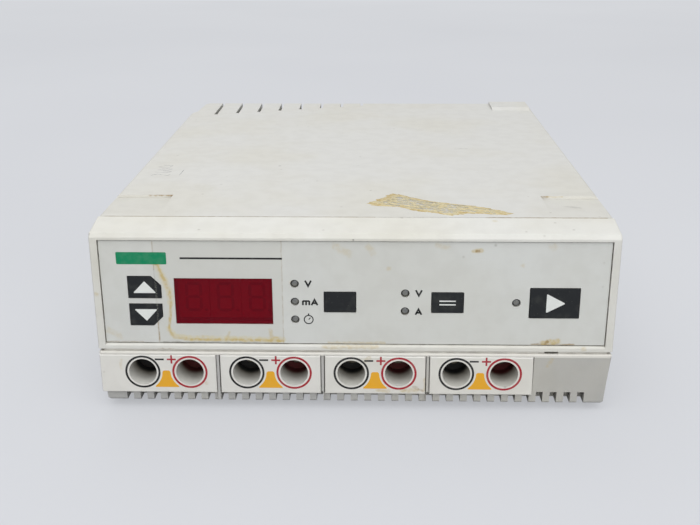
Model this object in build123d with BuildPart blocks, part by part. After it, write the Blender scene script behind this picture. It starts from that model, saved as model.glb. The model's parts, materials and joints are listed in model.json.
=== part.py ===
from build123d import *
import os
from math import radians, tan

# Electrophoresis power supply. X runs to the right along the front, Y runs to the rear, +Z is up.
# The origin is at the middle of the housing, on the surface that the feet stand on. Millimetres.

# Housing
housing_width = 204.4
housing_depth = 260.0
foot_height = 3.1
upper_height = 51.8
parting_gap = 1.2
shell_wall = 2.5
floor_thickness = 2.5
corner_radius = 3.0
inner_corner_radius = 1.0
edge_radius = 1.8
base_taper = 4.8
base_corner_radius = 1.2
base_edge_radius = 1.2
base_rim_slope = 0.6
fit_clearance = 0.15

# Seam between the base and the shells that stand on it
seam_inset = 1.0
seam_lap = 1.5
tongue_height = 3.0
tongue_end_gap = 2.0
latch_from_blocks = 6.6
latch_width = 5.4

# Front bezel: a frame with a sloping top band
bezel_depth = 15.0
bezel_groove = 0.5
brow_drop = 4.0
brow_setback = 1.2
brow_slope = 9.5
brow_radius = 0.85
bezel_edge_radius = 0.8
recess_side_border = 3.1
recess_top_border = 1.0
recess_bottom_border = 2.2
recess_depth = 1.7
recess_lip_radius = 1.1
overlay_thickness = 0.9
overlay_gap = 0.35
panel_wall = 2.4
lap_length = 4.0
lap_root = 2.0

# Panel controls, measured from the ends of the overlay and from the middle of the recess. The hold
# key and its two lamps stand between the mode key and the run lamp, a little left of the middle.
controls_drop = 3.65
arrow_key_from_left = 16.8
display_from_left = 47.7
lamp_column_from_left = 75.65
mode_key_from_left = 93.35
hold_key_from_lamps = 16.55
hold_group_shift = 0.65
run_lamp_from_right = 35.4
run_key_from_right = 20.55
arrow_key_width = 12.9
arrow_key_height = 9.0
arrow_key_gap = 2.55
arrow_key_corner = 3.9
small_key_width = 12.4
small_key_height = 8.4
run_key_width = 19.3
run_key_height = 12.4
key_corner_radius = 0.4
key_clearance = 0.2
key_proud = 0.3
key_travel = 0.5
key_edge = 0.2
key_flange = 1.0
key_flange_thickness = 1.2
key_flange_gap = 0.1
key_stem_radius = 1.9
key_stem_gap = 0.1
display_width = 38.2
display_height = 18.9
window_setback = 0.1
window_flange = 1.2
window_flange_thickness = 1.0
lamp_radius = 1.5
lamp_clearance = 0.2
lamp_setback = 0.5
lamp_rounding = 0.9
lamp_collar = 0.4
lamp_collar_gap = 1.8
lamp_pitch = 7.5

# Display board and what stands on it
board_thickness = 1.6
display_board_depth = 12.0
board_side_gap = 3.5
board_end_gap = 0.4
board_boss_inset = 3.2
board_boss_radius = 2.8
switch_size = 6.2
switch_body_height = 3.4
switch_button_radius = 1.7
switch_button_height = 0.8
digit_pitch = 12.6
digit_gap = 0.2
digit_height = 17.6
digit_face_gap = 0.5
digit_segment_length = 5.6
digit_segment_gap = 0.6
digit_segment_width = 1.2
digit_segment_depth = 0.3
digit_point_offset = 4.8

# Output sockets
jack_block_pitch = 42.0
jack_block_end = 5.6
jack_block_side_gap = 0.05
jack_block_height = 16.8
jack_block_lift = 4.2
jack_block_setback = 0.3
jack_block_seat = 7.5
jack_block_wall = 1.8
jack_block_plate = 3.0
jack_block_corner = 1.0
jack_block_edge = 0.5
band_over_blocks = 1.4
jack_rib = 1.0
jack_rib_gap = 0.3
jack_spacing = 19.05
jack_height = 9.15
well_radius = 5.6
well_depth = 16.0
barrel_wall = 1.8
contact_wall = 1.0
contact_clearance = 0.05
contact_setback = 0.3
contact_end = 0.7
contact_bore_radius = 2.0
contact_bore_depth = 13.0
contact_flange = 1.4
contact_flange_thickness = 1.7
contact_pin_radius = 1.0
contact_pin_clearance = 0.1
contact_pin_end = 1.5
output_board_margin = 8.0

# Comb vents along the bottom of the front, and the slots over the rear edge of the top
comb_end_margin = 10.2
comb_pitch = 5.53
comb_slot = 2.75
comb_height = 5.2
comb_reach = 8.0
rear_slot_count = 8
rear_slot_pitch = 12.3
rear_slot_width = 1.8
rear_slot_from_left = 15.5
rear_slot_longest = 37.0
rear_slot_step = 4.1
rear_slot_drop = 5.5
rear_lip_height = 12.0
floor_slot_count = 9
floor_slot_length = 34.0
floor_slot_width = 2.4
floor_slot_pitch = 7.0

# Stacking steps in the front corners, raised pad and trimmed corner at the rear
step_width = 24.2
step_from_bezel = 30.7
step_start = 4.0
step_drop = 1.1
step_wall_run = 0.25
pad_length = 23.6
pad_slope = 3.5
pad_rise = 1.3
trim_length = 36.0
trim_lead = 8.0
trim_depth = 3.4
trim_corner = 5.0
trim_corner_depth = 4.7
trim_height = 15.0
trim_toe = 0.02
trim_backing = 4.8

# Fixings
column_radius = 4.5
column_inset = 9.2
column_lug_gap = 2.0
front_column_from_front = 50.0
screw_radius = 1.4
screw_head_radius = 2.8
screw_head_height = 2.2
screw_slot_length = 3.6
screw_slot_width = 0.9
screw_slot_depth = 1.2
screw_end_gap = 0.5
thread_clearance = 0.05
hole_clearance = 0.3
head_clearance = 0.4
case_screw_length = 26.0
case_screw_recess = 7.0
display_screw_length = 6.6
lug_screw_length = 6.5
lug_screw_drop = 5.0
lug_depth = 8.0
lug_width = 8.0
lug_height = 33.0
left_lug_inset = 16.2
right_lug_inset = 10.2
foot_radius = 6.5
foot_seat = 0.8
foot_seat_gap = 0.05
foot_edge_radius = 0.8
foot_inset = 20.0
standoff_height = 5.0
standoff_radius = 3.2

# Rear panel with the mains parts
rear_recess = 6.0
rear_panel_thickness = 1.5
rear_groove_depth = 1.5
rear_shelf_thickness = 3.0
rear_shelf_lip = 1.5
cutout_clearance = 0.3
inlet_from_right = 30.2
inlet_side_wall = 3.4
inlet_top_wall = 3.0
inlet_middle_wall = 3.3
inlet_bottom_wall = 3.1
inlet_lip = 2.0
inlet_corner = 2.0
inlet_flange_thickness = 2.4
inlet_body_depth = 22.0
socket_width = 24.2
socket_height = 16.6
socket_depth = 17.0
socket_corner = 4.0
pin_spacing = 7.0
pin_width = 2.0
pin_height = 4.0
pin_clearance = 0.05
pin_setback = 2.5
pin_tail = 8.0
earth_pin_lift = 2.0
drawer_height = 7.4
drawer_depth = 17.0
drawer_gap = 0.3
drawer_side_wall = 0.6
drawer_face_lip = 1.2
drawer_face_gap = 0.1
drawer_face_thickness = 1.6
drawer_grip_length = 9.0
drawer_grip_width = 2.4
drawer_grip_depth = 1.2
fuse_length = 20.0
fuse_radius = 2.6
fuse_cap_length = 5.0
fuse_waist = 0.2
fuse_clearance = 0.1
fuse_from_end = 2.0
switch_shift = 2.75
switch_flange_thickness = 1.8
switch_lip = 1.5
switch_corner = 1.0
switch_wall = 1.6
switch_cavity_depth = 9.5
switch_bottom = 6.0
rocker_width = 11.4
rocker_height = 17.2
rocker_side_gap = 0.3
rocker_end_gap = 0.8
rocker_angle = 10.0
rocker_pivot_depth = 2.6
rocker_tip_proud = 4.2
rocker_tip_back = 0.8
rocker_dip = 1.4
rocker_keel_depth = 2.4
rocker_keel_height = 6.0
rocker_stud_radius = 1.2
rocker_stud_length = 1.0
rocker_stud_clearance = 0.06

# Inside
board_edge_gap = 4.0
board_to_core = 13.5
board_hole_inset = 5.0
ribbon_from_board_edge = 40.0
ribbon_lift = 6.0
ribbon_landing = 12.0
ribbon_width = 20.0
ribbon_thickness = 1.0
ribbon_bend = 4.0
capacitor_radius = 12.5
capacitor_height = 42.0
capacitor_rim = 1.5
capacitor_bead_height = 3.0
capacitor_bead_width = 1.6
capacitor_bead_depth = 0.7
capacitor_gap = 6.0
capacitor_from_board_edge = 30.0
capacitor_from_board_front = 80.0
heat_sink_width = 80.0
heat_sink_height = 46.0
heat_sink_plate = 4.0
heat_sink_fin_depth = 13.0
heat_sink_fin = 1.5
heat_sink_fin_pitch = 6.5
transistor_width = 10.0
transistor_height = 20.0
transistor_thickness = 4.5
transistor_lift = 6.0
bridge_width = 14.0
bridge_height = 18.0
bridge_thickness = 3.6
bridge_lift = 8.0
lead_width = 1.0
lead_thickness = 0.6
transistor_lead_pitch = 2.54
transistor_lead_count = 3
bridge_lead_pitch = 3.8
bridge_lead_count = 4
core_width = 66.0
core_height = 50.0
core_stack = 34.0
core_leg = 22.0
core_yoke = 9.0
core_from_right = 40.2
winding_overhang = 9.0
winding_gap = 0.3
winding_corner = 4.0
strap_width = 20.0
strap_thickness = 1.2
strap_foot = 9.0
wire_radius = 1.1
wire_bend = 7.0
wire_run = 24.0
wire_spread = 4.0
wire_from_board_edge = 12.0

# Planes and edges that the pieces share
half_width = housing_width / 2
front_y = -housing_depth / 2
rear_y = housing_depth / 2
base_bottom_z = foot_height
floor_z = base_bottom_z + floor_thickness
floor_middle_z = base_bottom_z + floor_thickness / 2
base_height = jack_block_lift + jack_block_height + band_over_blocks
base_top_z = base_bottom_z + base_height
upper_bottom_z = base_top_z + parting_gap
top_z = base_top_z + upper_height
bezel_back_y = front_y + bezel_depth
cover_front_y = bezel_back_y + bezel_groove
brow_z = top_z - brow_drop
recess_bottom_z = upper_bottom_z + recess_bottom_border
recess_height = brow_z - recess_top_border - recess_bottom_z
recess_width = housing_width - 2 * recess_side_border
recess_middle_z = recess_bottom_z + recess_height / 2
controls_z = recess_middle_z - controls_drop
recess_floor_y = front_y + recess_depth
overlay_face_y = recess_floor_y - overlay_thickness
panel_back_y = recess_floor_y + panel_wall
display_board_y = front_y + display_board_depth
overlay_left = -recess_width / 2 + overlay_gap
overlay_right = recess_width / 2 - overlay_gap
rear_panel_y = rear_y - rear_recess - rear_panel_thickness
panel_face_y = rear_panel_y + rear_panel_thickness
ring_inset = shell_wall + fit_clearance + seam_lap
display_board_width = housing_width - 2 * shell_wall - 2 * board_side_gap
display_board_height = 2 * (controls_z - recess_bottom_z - board_end_gap)
lamp_hole_radius = lamp_radius + lamp_clearance


def facing_front(y):
    """Sketch plane at depth y: its X is the object's X and its Y is the object's Z."""
    return Plane.XZ.offset(-y)


def brow_height_at(y):
    """Height of the bezel's sloping top at depth y."""
    return top_z - (bezel_back_y - y) * tan(radians(brow_slope))


def finish(piece, name):
    """Names a finished piece and writes it to its own file."""
    piece.label = name
    export_step(piece, f"parts/{name}.step")
    print(f"{name}: {len(piece.solids())} solid(s), {piece.volume:.0f} mm3")


os.makedirs("parts", exist_ok=True)

# Places of the keys: centre, width and height of each
upper_key_z = controls_z + (arrow_key_height + arrow_key_gap) / 2
lower_key_z = controls_z - (arrow_key_height + arrow_key_gap) / 2
arrow_x = overlay_left + arrow_key_from_left
mode_key_x = overlay_left + mode_key_from_left
run_lamp_x = overlay_right - run_lamp_from_right
hold_group_width = hold_key_from_lamps + small_key_width / 2
hold_group_x = (mode_key_x + small_key_width / 2 + run_lamp_x) / 2 - hold_group_shift
right_lamps_x = hold_group_x - hold_group_width / 2
hold_key_x = right_lamps_x + hold_key_from_lamps
keys = {
    "up_key": (arrow_x, upper_key_z, arrow_key_width, arrow_key_height),
    "down_key": (arrow_x, lower_key_z, arrow_key_width, arrow_key_height),
    "mode_key": (mode_key_x, controls_z, small_key_width, small_key_height),
    "hold_key": (hold_key_x, controls_z, small_key_width, small_key_height),
    "run_key": (overlay_right - run_key_from_right, controls_z, run_key_width, run_key_height),
}
display_x = overlay_left + display_from_left
left_lamps_x = overlay_left + lamp_column_from_left
lamps = {
    "volts_lamp": (left_lamps_x, controls_z + lamp_pitch),
    "milliamps_lamp": (left_lamps_x, controls_z),
    "timer_lamp": (left_lamps_x, controls_z - lamp_pitch),
    "constant_volts_lamp": (right_lamps_x, controls_z + lamp_pitch / 2),
    "constant_amps_lamp": (right_lamps_x, controls_z - lamp_pitch / 2),
    "run_lamp": (run_lamp_x, controls_z),
}


def key_outline(name, margin):
    """Face of one key, grown by a margin all round, in the sketch that is open."""
    x, z, width, height = keys[name]
    with Locations((x, z)):
        outline = Rectangle(width + 2 * margin, height + 2 * margin)
    if name in ("up_key", "down_key"):
        end = 1 if name == "up_key" else -1
        corner = [v for v in outline.vertices() if v.X > x and (v.Y - z) * end > 0]
        chamfer(corner, arrow_key_corner)
    else:
        fillet(outline.vertices(), key_corner_radius)


# Where the output sockets are: the left edge of each block and the X of its two wells
block_left_x = -half_width + jack_block_side_gap
first_seam_x = block_left_x + jack_block_end + jack_block_pitch
block_edges = [block_left_x] + [first_seam_x + n * jack_block_pitch for n in range(4)]
block_middles = [first_seam_x + (n - 0.5) * jack_block_pitch for n in range(4)]
jack_z = base_bottom_z + jack_block_lift + jack_height
block_bottom_z = base_bottom_z + jack_block_lift
block_top_z = block_bottom_z + jack_block_height
block_face_y = front_y + jack_block_setback
block_back_y = block_face_y + jack_block_seat
minus_xs = [middle - jack_spacing / 2 for middle in block_middles]
plus_xs = [middle + jack_spacing / 2 for middle in block_middles]
barrel_radius = well_radius + barrel_wall
barrel_length = well_depth + contact_setback + contact_bore_depth + contact_end
contact_radius = contact_bore_radius + contact_wall
contact_front_y = block_face_y + well_depth + contact_setback
contact_flange_y = block_face_y + barrel_length + fit_clearance
output_board_y = contact_flange_y + contact_flange_thickness

# Screw columns and feet
column_x = half_width - column_inset
rear_column_y = rear_panel_y - lug_depth - column_lug_gap - column_radius
column_ys = (front_y + front_column_from_front, rear_column_y)
column_places = [(side * column_x, y) for side in (-1, 1) for y in column_ys]
foot_places = [
    (side * (half_width - foot_inset), end * (rear_y - foot_inset))
    for side in (-1, 1)
    for end in (-1, 1)
]

# Lugs of the rear panel
lug_screws = [
    (-half_width + left_lug_inset, floor_z + lug_height - lug_screw_drop),
    (half_width - right_lug_inset, floor_z + lug_height - lug_screw_drop),
]

# Transformer on the right, main board between the output board and the rear lugs
core_x = half_width - core_from_right
strap_feet = [(core_x, end * (core_width / 2 + strap_foot / 2)) for end in (-1, 1)]
core_bottom_z = floor_z + standoff_height + strap_thickness
main_board_z = floor_z + standoff_height
main_board_left = -column_x + column_radius + board_edge_gap / 2
main_board_right = core_x - core_stack / 2 - board_to_core
main_board_front = output_board_y + board_thickness + board_edge_gap
main_board_rear = rear_panel_y - lug_depth - board_edge_gap / 2
board_top_z = main_board_z + board_thickness
board_hole_xs = (main_board_left + board_hole_inset, main_board_right - board_hole_inset)
board_hole_ys = (main_board_front + board_hole_inset, (main_board_front + main_board_rear) / 2)
board_holes = [(x, y) for x in board_hole_xs for y in board_hole_ys]
board_rests = [(x, main_board_rear - board_hole_inset) for x in board_hole_xs]

# Base: a tray with a sloping rim, whose four walls lean in towards the floor
down_from_seam = Plane((0, 0, base_top_z), x_dir=(1, 0, 0), z_dir=(0, 0, -1))
with BuildPart() as base_shell:
    for depth, inset in ((0, base_rim_slope), (base_rim_slope, 0)):
        with BuildSketch(down_from_seam.offset(depth)):
            outline = Rectangle(housing_width - 2 * inset, housing_depth - 2 * inset)
            rear_corners, front_corners = outline.vertices().group_by(Axis.Y)
            fillet(front_corners, base_corner_radius - inset)
            fillet(rear_corners, corner_radius - inset)
        if depth == 0:
            extrude(amount=base_rim_slope, taper=-45)
        else:
            extrude(amount=base_height - base_rim_slope, taper=base_taper)
    fillet(base_shell.faces().sort_by(Axis.Z)[0].edges(), base_edge_radius)
    with BuildSketch(down_from_seam):
        RectangleRounded(
            housing_width - 2 * shell_wall,
            housing_depth - 2 * shell_wall,
            inner_corner_radius,
        )
    extrude(amount=base_height - floor_thickness, taper=base_taper, mode=Mode.SUBTRACT)
    # The ledge under the upper shells, set in to make the dark seam line
    with BuildSketch(Plane.XY.offset(base_top_z)):
        RectangleRounded(
            housing_width - 2 * seam_inset,
            housing_depth - 2 * seam_inset,
            corner_radius - seam_inset,
        )
        Rectangle(housing_width - 2 * ring_inset, housing_depth - 2 * ring_inset, mode=Mode.SUBTRACT)
    extrude(amount=parting_gap)
    # The tongues that locate the top cover's side walls
    tongue_y = (cover_front_y + rear_panel_y) / 2
    tongue_length = rear_panel_y - cover_front_y - 2 * tongue_end_gap
    with BuildSketch(Plane.XY.offset(upper_bottom_z)):
        tongue_x = half_width - shell_wall - fit_clearance - seam_lap / 2
        with Locations((-tongue_x, tongue_y), (tongue_x, tongue_y)):
            Rectangle(seam_lap, tongue_length)
    extrude(amount=tongue_height)
    # Shelf, lugs and groove for the rear panel
    with BuildSketch(Plane.XY.offset(base_top_z)):
        with Locations((0, rear_y - seam_inset)):
            Rectangle(
                housing_width - 2 * shell_wall,
                rear_y - seam_inset - rear_panel_y + rear_shelf_lip,
                align=(Align.CENTER, Align.MAX),
            )
    extrude(amount=-rear_shelf_thickness)
    with BuildSketch(Plane.XY.offset(floor_middle_z)):
        with Locations(*[(x, rear_panel_y - fit_clearance) for x, z in lug_screws]):
            Rectangle(lug_width, lug_depth, align=(Align.CENTER, Align.MAX))
    extrude(amount=floor_z + lug_height - floor_middle_z)
    groove_width = rear_panel_thickness + 2 * fit_clearance
    with BuildSketch(Plane.XY.offset(base_top_z)):
        with Locations((0, rear_panel_y + rear_panel_thickness / 2)):
            Rectangle(housing_width - 2 * shell_wall, groove_width)
    extrude(amount=parting_gap, mode=Mode.SUBTRACT)
    with BuildSketch(Plane.XY.offset(base_top_z)):
        with Locations((0, rear_panel_y + rear_panel_thickness / 2)):
            Rectangle(housing_width - 2 * ring_inset, groove_width)
    extrude(amount=-rear_groove_depth, mode=Mode.SUBTRACT)
    # Screw columns, board standoffs and transformer posts
    with BuildSketch(Plane.XY.offset(floor_middle_z)):
        with Locations(*column_places):
            Circle(column_radius)
    extrude(amount=base_top_z - floor_middle_z)
    with BuildSketch(Plane.XY.offset(floor_middle_z)):
        with Locations(*board_holes, *board_rests, *strap_feet):
            Circle(standoff_radius)
    extrude(amount=main_board_z - floor_middle_z)
    # Seat of the jack blocks, with a thin rib left between neighbours
    seat_right_x = block_edges[-1] + fit_clearance
    with BuildSketch(Plane.XY.offset(block_bottom_z - fit_clearance)):
        with Locations((-half_width - shell_wall, front_y - shell_wall)):
            Rectangle(
                seat_right_x + half_width + shell_wall,
                block_back_y + fit_clearance - front_y + shell_wall,
                align=(Align.MIN, Align.MIN),
            )
    extrude(amount=jack_block_height + 2 * fit_clearance, mode=Mode.SUBTRACT)
    with BuildSketch(Plane.XY.offset(floor_middle_z)):
        with Locations(*[(x, block_face_y) for x in block_edges[1:-1]]):
            Rectangle(jack_rib, jack_block_seat, align=(Align.CENTER, Align.MIN))
    extrude(amount=base_top_z - band_over_blocks / 2 - floor_middle_z)
    # Comb vents, cut up from the bottom edge
    comb_count = int((housing_width - 2 * comb_end_margin) / comb_pitch) + 1
    with BuildSketch(Plane.XY.offset(base_bottom_z)):
        with Locations((0, front_y)):
            with GridLocations(comb_pitch, 0, comb_count, 1):
                Rectangle(comb_slot, 2 * comb_reach)
    extrude(amount=comb_height, both=True, mode=Mode.SUBTRACT)
    # Slots in the floor under the heat sink
    floor_slots_x = main_board_left + heat_sink_width / 2
    floor_slots_y = main_board_rear - board_edge_gap - floor_slot_length / 2
    with BuildSketch(Plane.XY.offset(floor_z)):
        with Locations((floor_slots_x, floor_slots_y)):
            with GridLocations(floor_slot_pitch, 0, floor_slot_count, 1):
                SlotOverall(floor_slot_length, floor_slot_width, rotation=90)
    extrude(amount=2 * floor_thickness, both=True, mode=Mode.SUBTRACT)
    # Seats of the feet, the screws' holes and the latch slot in the seam
    with BuildSketch(Plane.XY.offset(base_bottom_z)):
        with Locations(*foot_places):
            Circle(foot_radius + fit_clearance)
    extrude(amount=foot_seat, mode=Mode.SUBTRACT)
    with BuildSketch(Plane.XY.offset(base_bottom_z)):
        with Locations(*column_places):
            Circle(screw_head_radius + head_clearance)
    extrude(amount=case_screw_recess, mode=Mode.SUBTRACT)
    with BuildSketch(Plane.XY.offset(base_bottom_z)):
        with Locations(*column_places):
            Circle(screw_radius + hole_clearance)
    extrude(amount=2 * base_height, mode=Mode.SUBTRACT)
    with BuildSketch(Plane.XY.offset(floor_z)):
        with Locations(*board_holes, *strap_feet):
            Circle(screw_radius + thread_clearance)
    extrude(amount=2 * standoff_height, mode=Mode.SUBTRACT)
    with BuildSketch(Plane.XY.offset(base_top_z)):
        with Locations((seat_right_x + latch_from_blocks, front_y)):
            Rectangle(latch_width, 2 * ring_inset + 2 * fit_clearance)
    extrude(amount=parting_gap, mode=Mode.SUBTRACT)
    with BuildSketch(facing_front(rear_panel_y)):
        with Locations(*lug_screws):
            Circle(screw_radius + thread_clearance)
    extrude(amount=lug_screw_length + screw_end_gap - rear_panel_thickness, mode=Mode.SUBTRACT)
finish(base_shell.part, "base_shell")

# Top cover: top, side walls and a low rear lip
cover_length = rear_y - cover_front_y
cover_middle_y = (rear_y + cover_front_y) / 2
with BuildPart() as top_cover:
    with BuildSketch(Plane.XY.offset(upper_bottom_z)):
        with Locations((0, cover_middle_y)):
            outline = Rectangle(housing_width, cover_length)
        fillet(outline.vertices().group_by(Axis.Y)[-1], corner_radius)
    extrude(amount=top_z - upper_bottom_z)
    top_rim = top_cover.faces().sort_by(Axis.Z)[-1].edges()
    fillet(top_rim - top_rim.sort_by(Axis.Y)[:1], edge_radius)
    # Raised pad in the right rear corner, with a sloping front
    with BuildSketch(Plane.YZ.offset(half_width - step_width)):
        with BuildLine():
            Polyline(
                (rear_y - pad_length, top_z - pad_rise),
                (rear_y - pad_length, top_z),
                (rear_y - pad_length + pad_slope, top_z + pad_rise),
                (rear_y - edge_radius, top_z + pad_rise),
                (rear_y - edge_radius, top_z - pad_rise),
                close=True,
            )
        make_face()
    extrude(amount=step_width - edge_radius)
    # Inside
    with BuildSketch(Plane.XY.offset(upper_bottom_z - shell_wall)):
        with Locations((0, cover_front_y - shell_wall)):
            Rectangle(
                housing_width - 2 * shell_wall,
                cover_length,
                align=(Align.CENTER, Align.MIN),
            )
    extrude(amount=top_z - upper_bottom_z, mode=Mode.SUBTRACT)
    with BuildSketch(facing_front(rear_y)):
        with Locations((0, upper_bottom_z - shell_wall)):
            Rectangle(
                housing_width - 2 * shell_wall,
                top_z - rear_lip_height - upper_bottom_z + shell_wall,
                align=(Align.CENTER, Align.MIN),
            )
    extrude(amount=2 * shell_wall, both=True, mode=Mode.SUBTRACT)
    # Thicker wall behind the trimmed corner
    with BuildSketch(Plane.XY.offset(top_z - trim_height)):
        with Locations((-half_width + shell_wall / 2, rear_y - shell_wall / 2)):
            Rectangle(shell_wall / 2 + trim_backing, trim_length, align=(Align.MIN, Align.MAX))
    extrude(amount=trim_height - shell_wall / 2)
    # Screw bosses under the top
    boss_bottom_z = base_top_z + fit_clearance
    case_screw_z = base_bottom_z + case_screw_recess
    with BuildSketch(Plane.XY.offset(boss_bottom_z)):
        with Locations(*column_places):
            Circle(column_radius)
    extrude(amount=top_z - shell_wall / 2 - boss_bottom_z)
    with BuildSketch(Plane.XY.offset(boss_bottom_z)):
        with Locations(*column_places):
            Circle(screw_radius + thread_clearance)
    thread_depth = case_screw_z + case_screw_length + screw_end_gap - boss_bottom_z
    extrude(amount=thread_depth, mode=Mode.SUBTRACT)
    # Stacking steps: each corner ramps down from the bezel's groove to a small wall
    step_y = cover_front_y + step_from_bezel
    for side in (-1, 1):
        with BuildSketch(Plane.YZ.offset(side * (half_width - step_width))):
            with BuildLine():
                Polyline(
                    (cover_front_y + step_start, top_z),
                    (step_y, top_z - step_drop),
                    (step_y + 2 * step_wall_run, top_z + step_drop),
                    (cover_front_y + step_start, top_z + step_drop),
                    close=True,
                )
            make_face()
        extrude(amount=side * 2 * step_width, mode=Mode.SUBTRACT)
    # Trimmed left rear corner: a slope that is deepest at the top and runs out lower down
    for height, share in ((top_z - trim_height, trim_toe), (top_z, 1)):
        with BuildSketch(Plane.XY.offset(height)):
            with BuildLine():
                Polyline(
                    (-half_width - trim_depth, rear_y - trim_length),
                    (-half_width, rear_y - trim_length),
                    (-half_width + share * trim_depth, rear_y - trim_length + trim_lead),
                    (-half_width + share * trim_corner_depth, rear_y - trim_corner),
                    (-half_width + share * (trim_corner_depth + trim_corner), rear_y + trim_corner),
                    (-half_width - trim_depth, rear_y + trim_corner),
                    close=True,
                )
            make_face()
    loft(mode=Mode.SUBTRACT)
    # Slots over the rear edge, each shorter than the one to its left
    for number in range(rear_slot_count):
        slot_x = -half_width + rear_slot_from_left + number * rear_slot_pitch
        slot_length = rear_slot_longest - number * rear_slot_step
        with BuildSketch(Plane.XY.offset(top_z)):
            with Locations((slot_x, rear_y)):
                Rectangle(rear_slot_width, 2 * slot_length)
        extrude(amount=rear_slot_drop, both=True, mode=Mode.SUBTRACT)
finish(top_cover.part, "top_cover")

# Front bezel: frame, sloping brow and the wall that carries the keypad
with BuildPart() as front_bezel:
    with BuildSketch(Plane.YZ.offset(-half_width)):
        with BuildLine():
            Polyline(
                (front_y, upper_bottom_z),
                (front_y, brow_z),
                (front_y + brow_setback, brow_height_at(front_y + brow_setback)),
                (bezel_back_y, top_z),
                (bezel_back_y, upper_bottom_z),
                close=True,
            )
        make_face()
    extrude(amount=housing_width)
    brow_edges = front_bezel.edges().filter_by(Axis.X).group_by(Axis.Y)
    fillet(brow_edges[0].sort_by(Axis.Z)[-1:] + brow_edges[1], brow_radius)
    end_faces = front_bezel.faces().filter_by(Axis.X)
    side_edges = end_faces.edges() - end_faces.edges().group_by(Axis.Y)[-1]
    fillet(side_edges - side_edges.group_by(Axis.Z)[0], bezel_edge_radius)
    # Recess of the overlay with a rounded lip below it, and the hollow behind the wall
    with BuildSketch(facing_front(front_y)):
        with Locations((0, recess_middle_z)):
            Rectangle(recess_width, recess_height)
    extrude(amount=recess_depth, both=True, mode=Mode.SUBTRACT)
    front_edges = front_bezel.edges().filter_by(Axis.X).group_by(Axis.Y)[0]
    fillet(front_edges.sort_by(Axis.Z)[1], recess_lip_radius)
    with BuildSketch(Plane.YZ.offset(-half_width + shell_wall)):
        with BuildLine():
            Polyline(
                (panel_back_y, recess_bottom_z),
                (panel_back_y, brow_height_at(panel_back_y) - shell_wall),
                (bezel_back_y + shell_wall, brow_height_at(bezel_back_y) - shell_wall),
                (bezel_back_y + shell_wall, recess_bottom_z),
                close=True,
            )
        make_face()
    extrude(amount=housing_width - 2 * shell_wall, mode=Mode.SUBTRACT)
    # Lap that runs into the top cover along its top and sides
    lap_inset = shell_wall + fit_clearance
    lap_bottom_z = upper_bottom_z + tongue_height + seam_inset
    with BuildSketch(facing_front(bezel_back_y - lap_root)):
        with Locations((0, lap_bottom_z)):
            Rectangle(
                housing_width - 2 * lap_inset,
                top_z - lap_inset - lap_bottom_z,
                align=(Align.CENTER, Align.MIN),
            )
            Rectangle(
                housing_width - 2 * lap_inset - 2 * seam_lap,
                top_z - lap_inset - seam_lap - lap_bottom_z,
                align=(Align.CENTER, Align.MIN),
                mode=Mode.SUBTRACT,
            )
    extrude(amount=-lap_root - lap_length)
    # Openings in the wall
    with BuildSketch(facing_front(recess_floor_y)):
        for key_name in keys:
            key_outline(key_name, key_clearance)
        with Locations((display_x, controls_z)):
            Rectangle(display_width + 2 * fit_clearance, display_height + 2 * fit_clearance)
        with Locations(*lamps.values()):
            Circle(lamp_hole_radius)
    extrude(amount=2 * panel_wall, both=True, mode=Mode.SUBTRACT)
    # Bosses for the display board
    boss_end_x = display_board_width / 2 - board_boss_inset
    boss_middle_x = (mode_key_x + right_lamps_x) / 2
    board_bosses = [
        (x, controls_z + end * (display_board_height / 2 - board_boss_inset))
        for x in (-boss_end_x, boss_middle_x, boss_end_x)
        for end in (-1, 1)
    ]
    with BuildSketch(facing_front(display_board_y)):
        with Locations(*board_bosses):
            Circle(board_boss_radius)
    extrude(amount=display_board_y - panel_back_y + panel_wall / 2)
    with BuildSketch(facing_front(display_board_y)):
        with Locations(*board_bosses):
            Circle(screw_radius + thread_clearance)
    extrude(amount=display_screw_length + screw_end_gap - board_thickness, mode=Mode.SUBTRACT)
finish(front_bezel.part, "front_bezel")

# Overlay: one printed sheet in the bezel's recess
with BuildPart() as panel_overlay:
    with BuildSketch(facing_front(overlay_face_y)):
        with Locations((0, recess_middle_z)):
            Rectangle(recess_width - 2 * overlay_gap, recess_height - 2 * overlay_gap)
    extrude(amount=-overlay_thickness)
    with BuildSketch(facing_front(overlay_face_y)):
        for key_name in keys:
            key_outline(key_name, key_clearance)
        with Locations((display_x, controls_z)):
            Rectangle(display_width + 2 * fit_clearance, display_height + 2 * fit_clearance)
        with Locations(*lamps.values()):
            Circle(lamp_hole_radius)
    extrude(amount=-overlay_thickness, mode=Mode.SUBTRACT)
finish(panel_overlay.part, "panel_overlay")

# Keys: a cap through the wall, a flange behind it and a stem towards its switch
switch_face_y = display_board_y - switch_body_height
flange_y = panel_back_y + key_flange_gap
button_y = switch_face_y - switch_button_height
stem_end_y = button_y - key_travel - key_stem_gap
for key_name, (key_x, key_z, key_width, key_height) in keys.items():
    with BuildPart() as key:
        with BuildSketch(facing_front(overlay_face_y - key_proud)):
            key_outline(key_name, 0)
        extrude(amount=-(flange_y - overlay_face_y + key_proud))
        chamfer(key.faces().sort_by(Axis.Y)[0].edges(), key_edge)
        with BuildSketch(facing_front(flange_y)):
            with Locations((key_x, key_z)):
                Rectangle(key_width + 2 * key_flange, key_height + 2 * key_flange)
        extrude(amount=-key_flange_thickness)
        with BuildSketch(facing_front(flange_y)):
            with Locations((key_x, key_z)):
                Circle(key_stem_radius)
        extrude(amount=-(stem_end_y - flange_y))
    finish(key.part, key_name)

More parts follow.
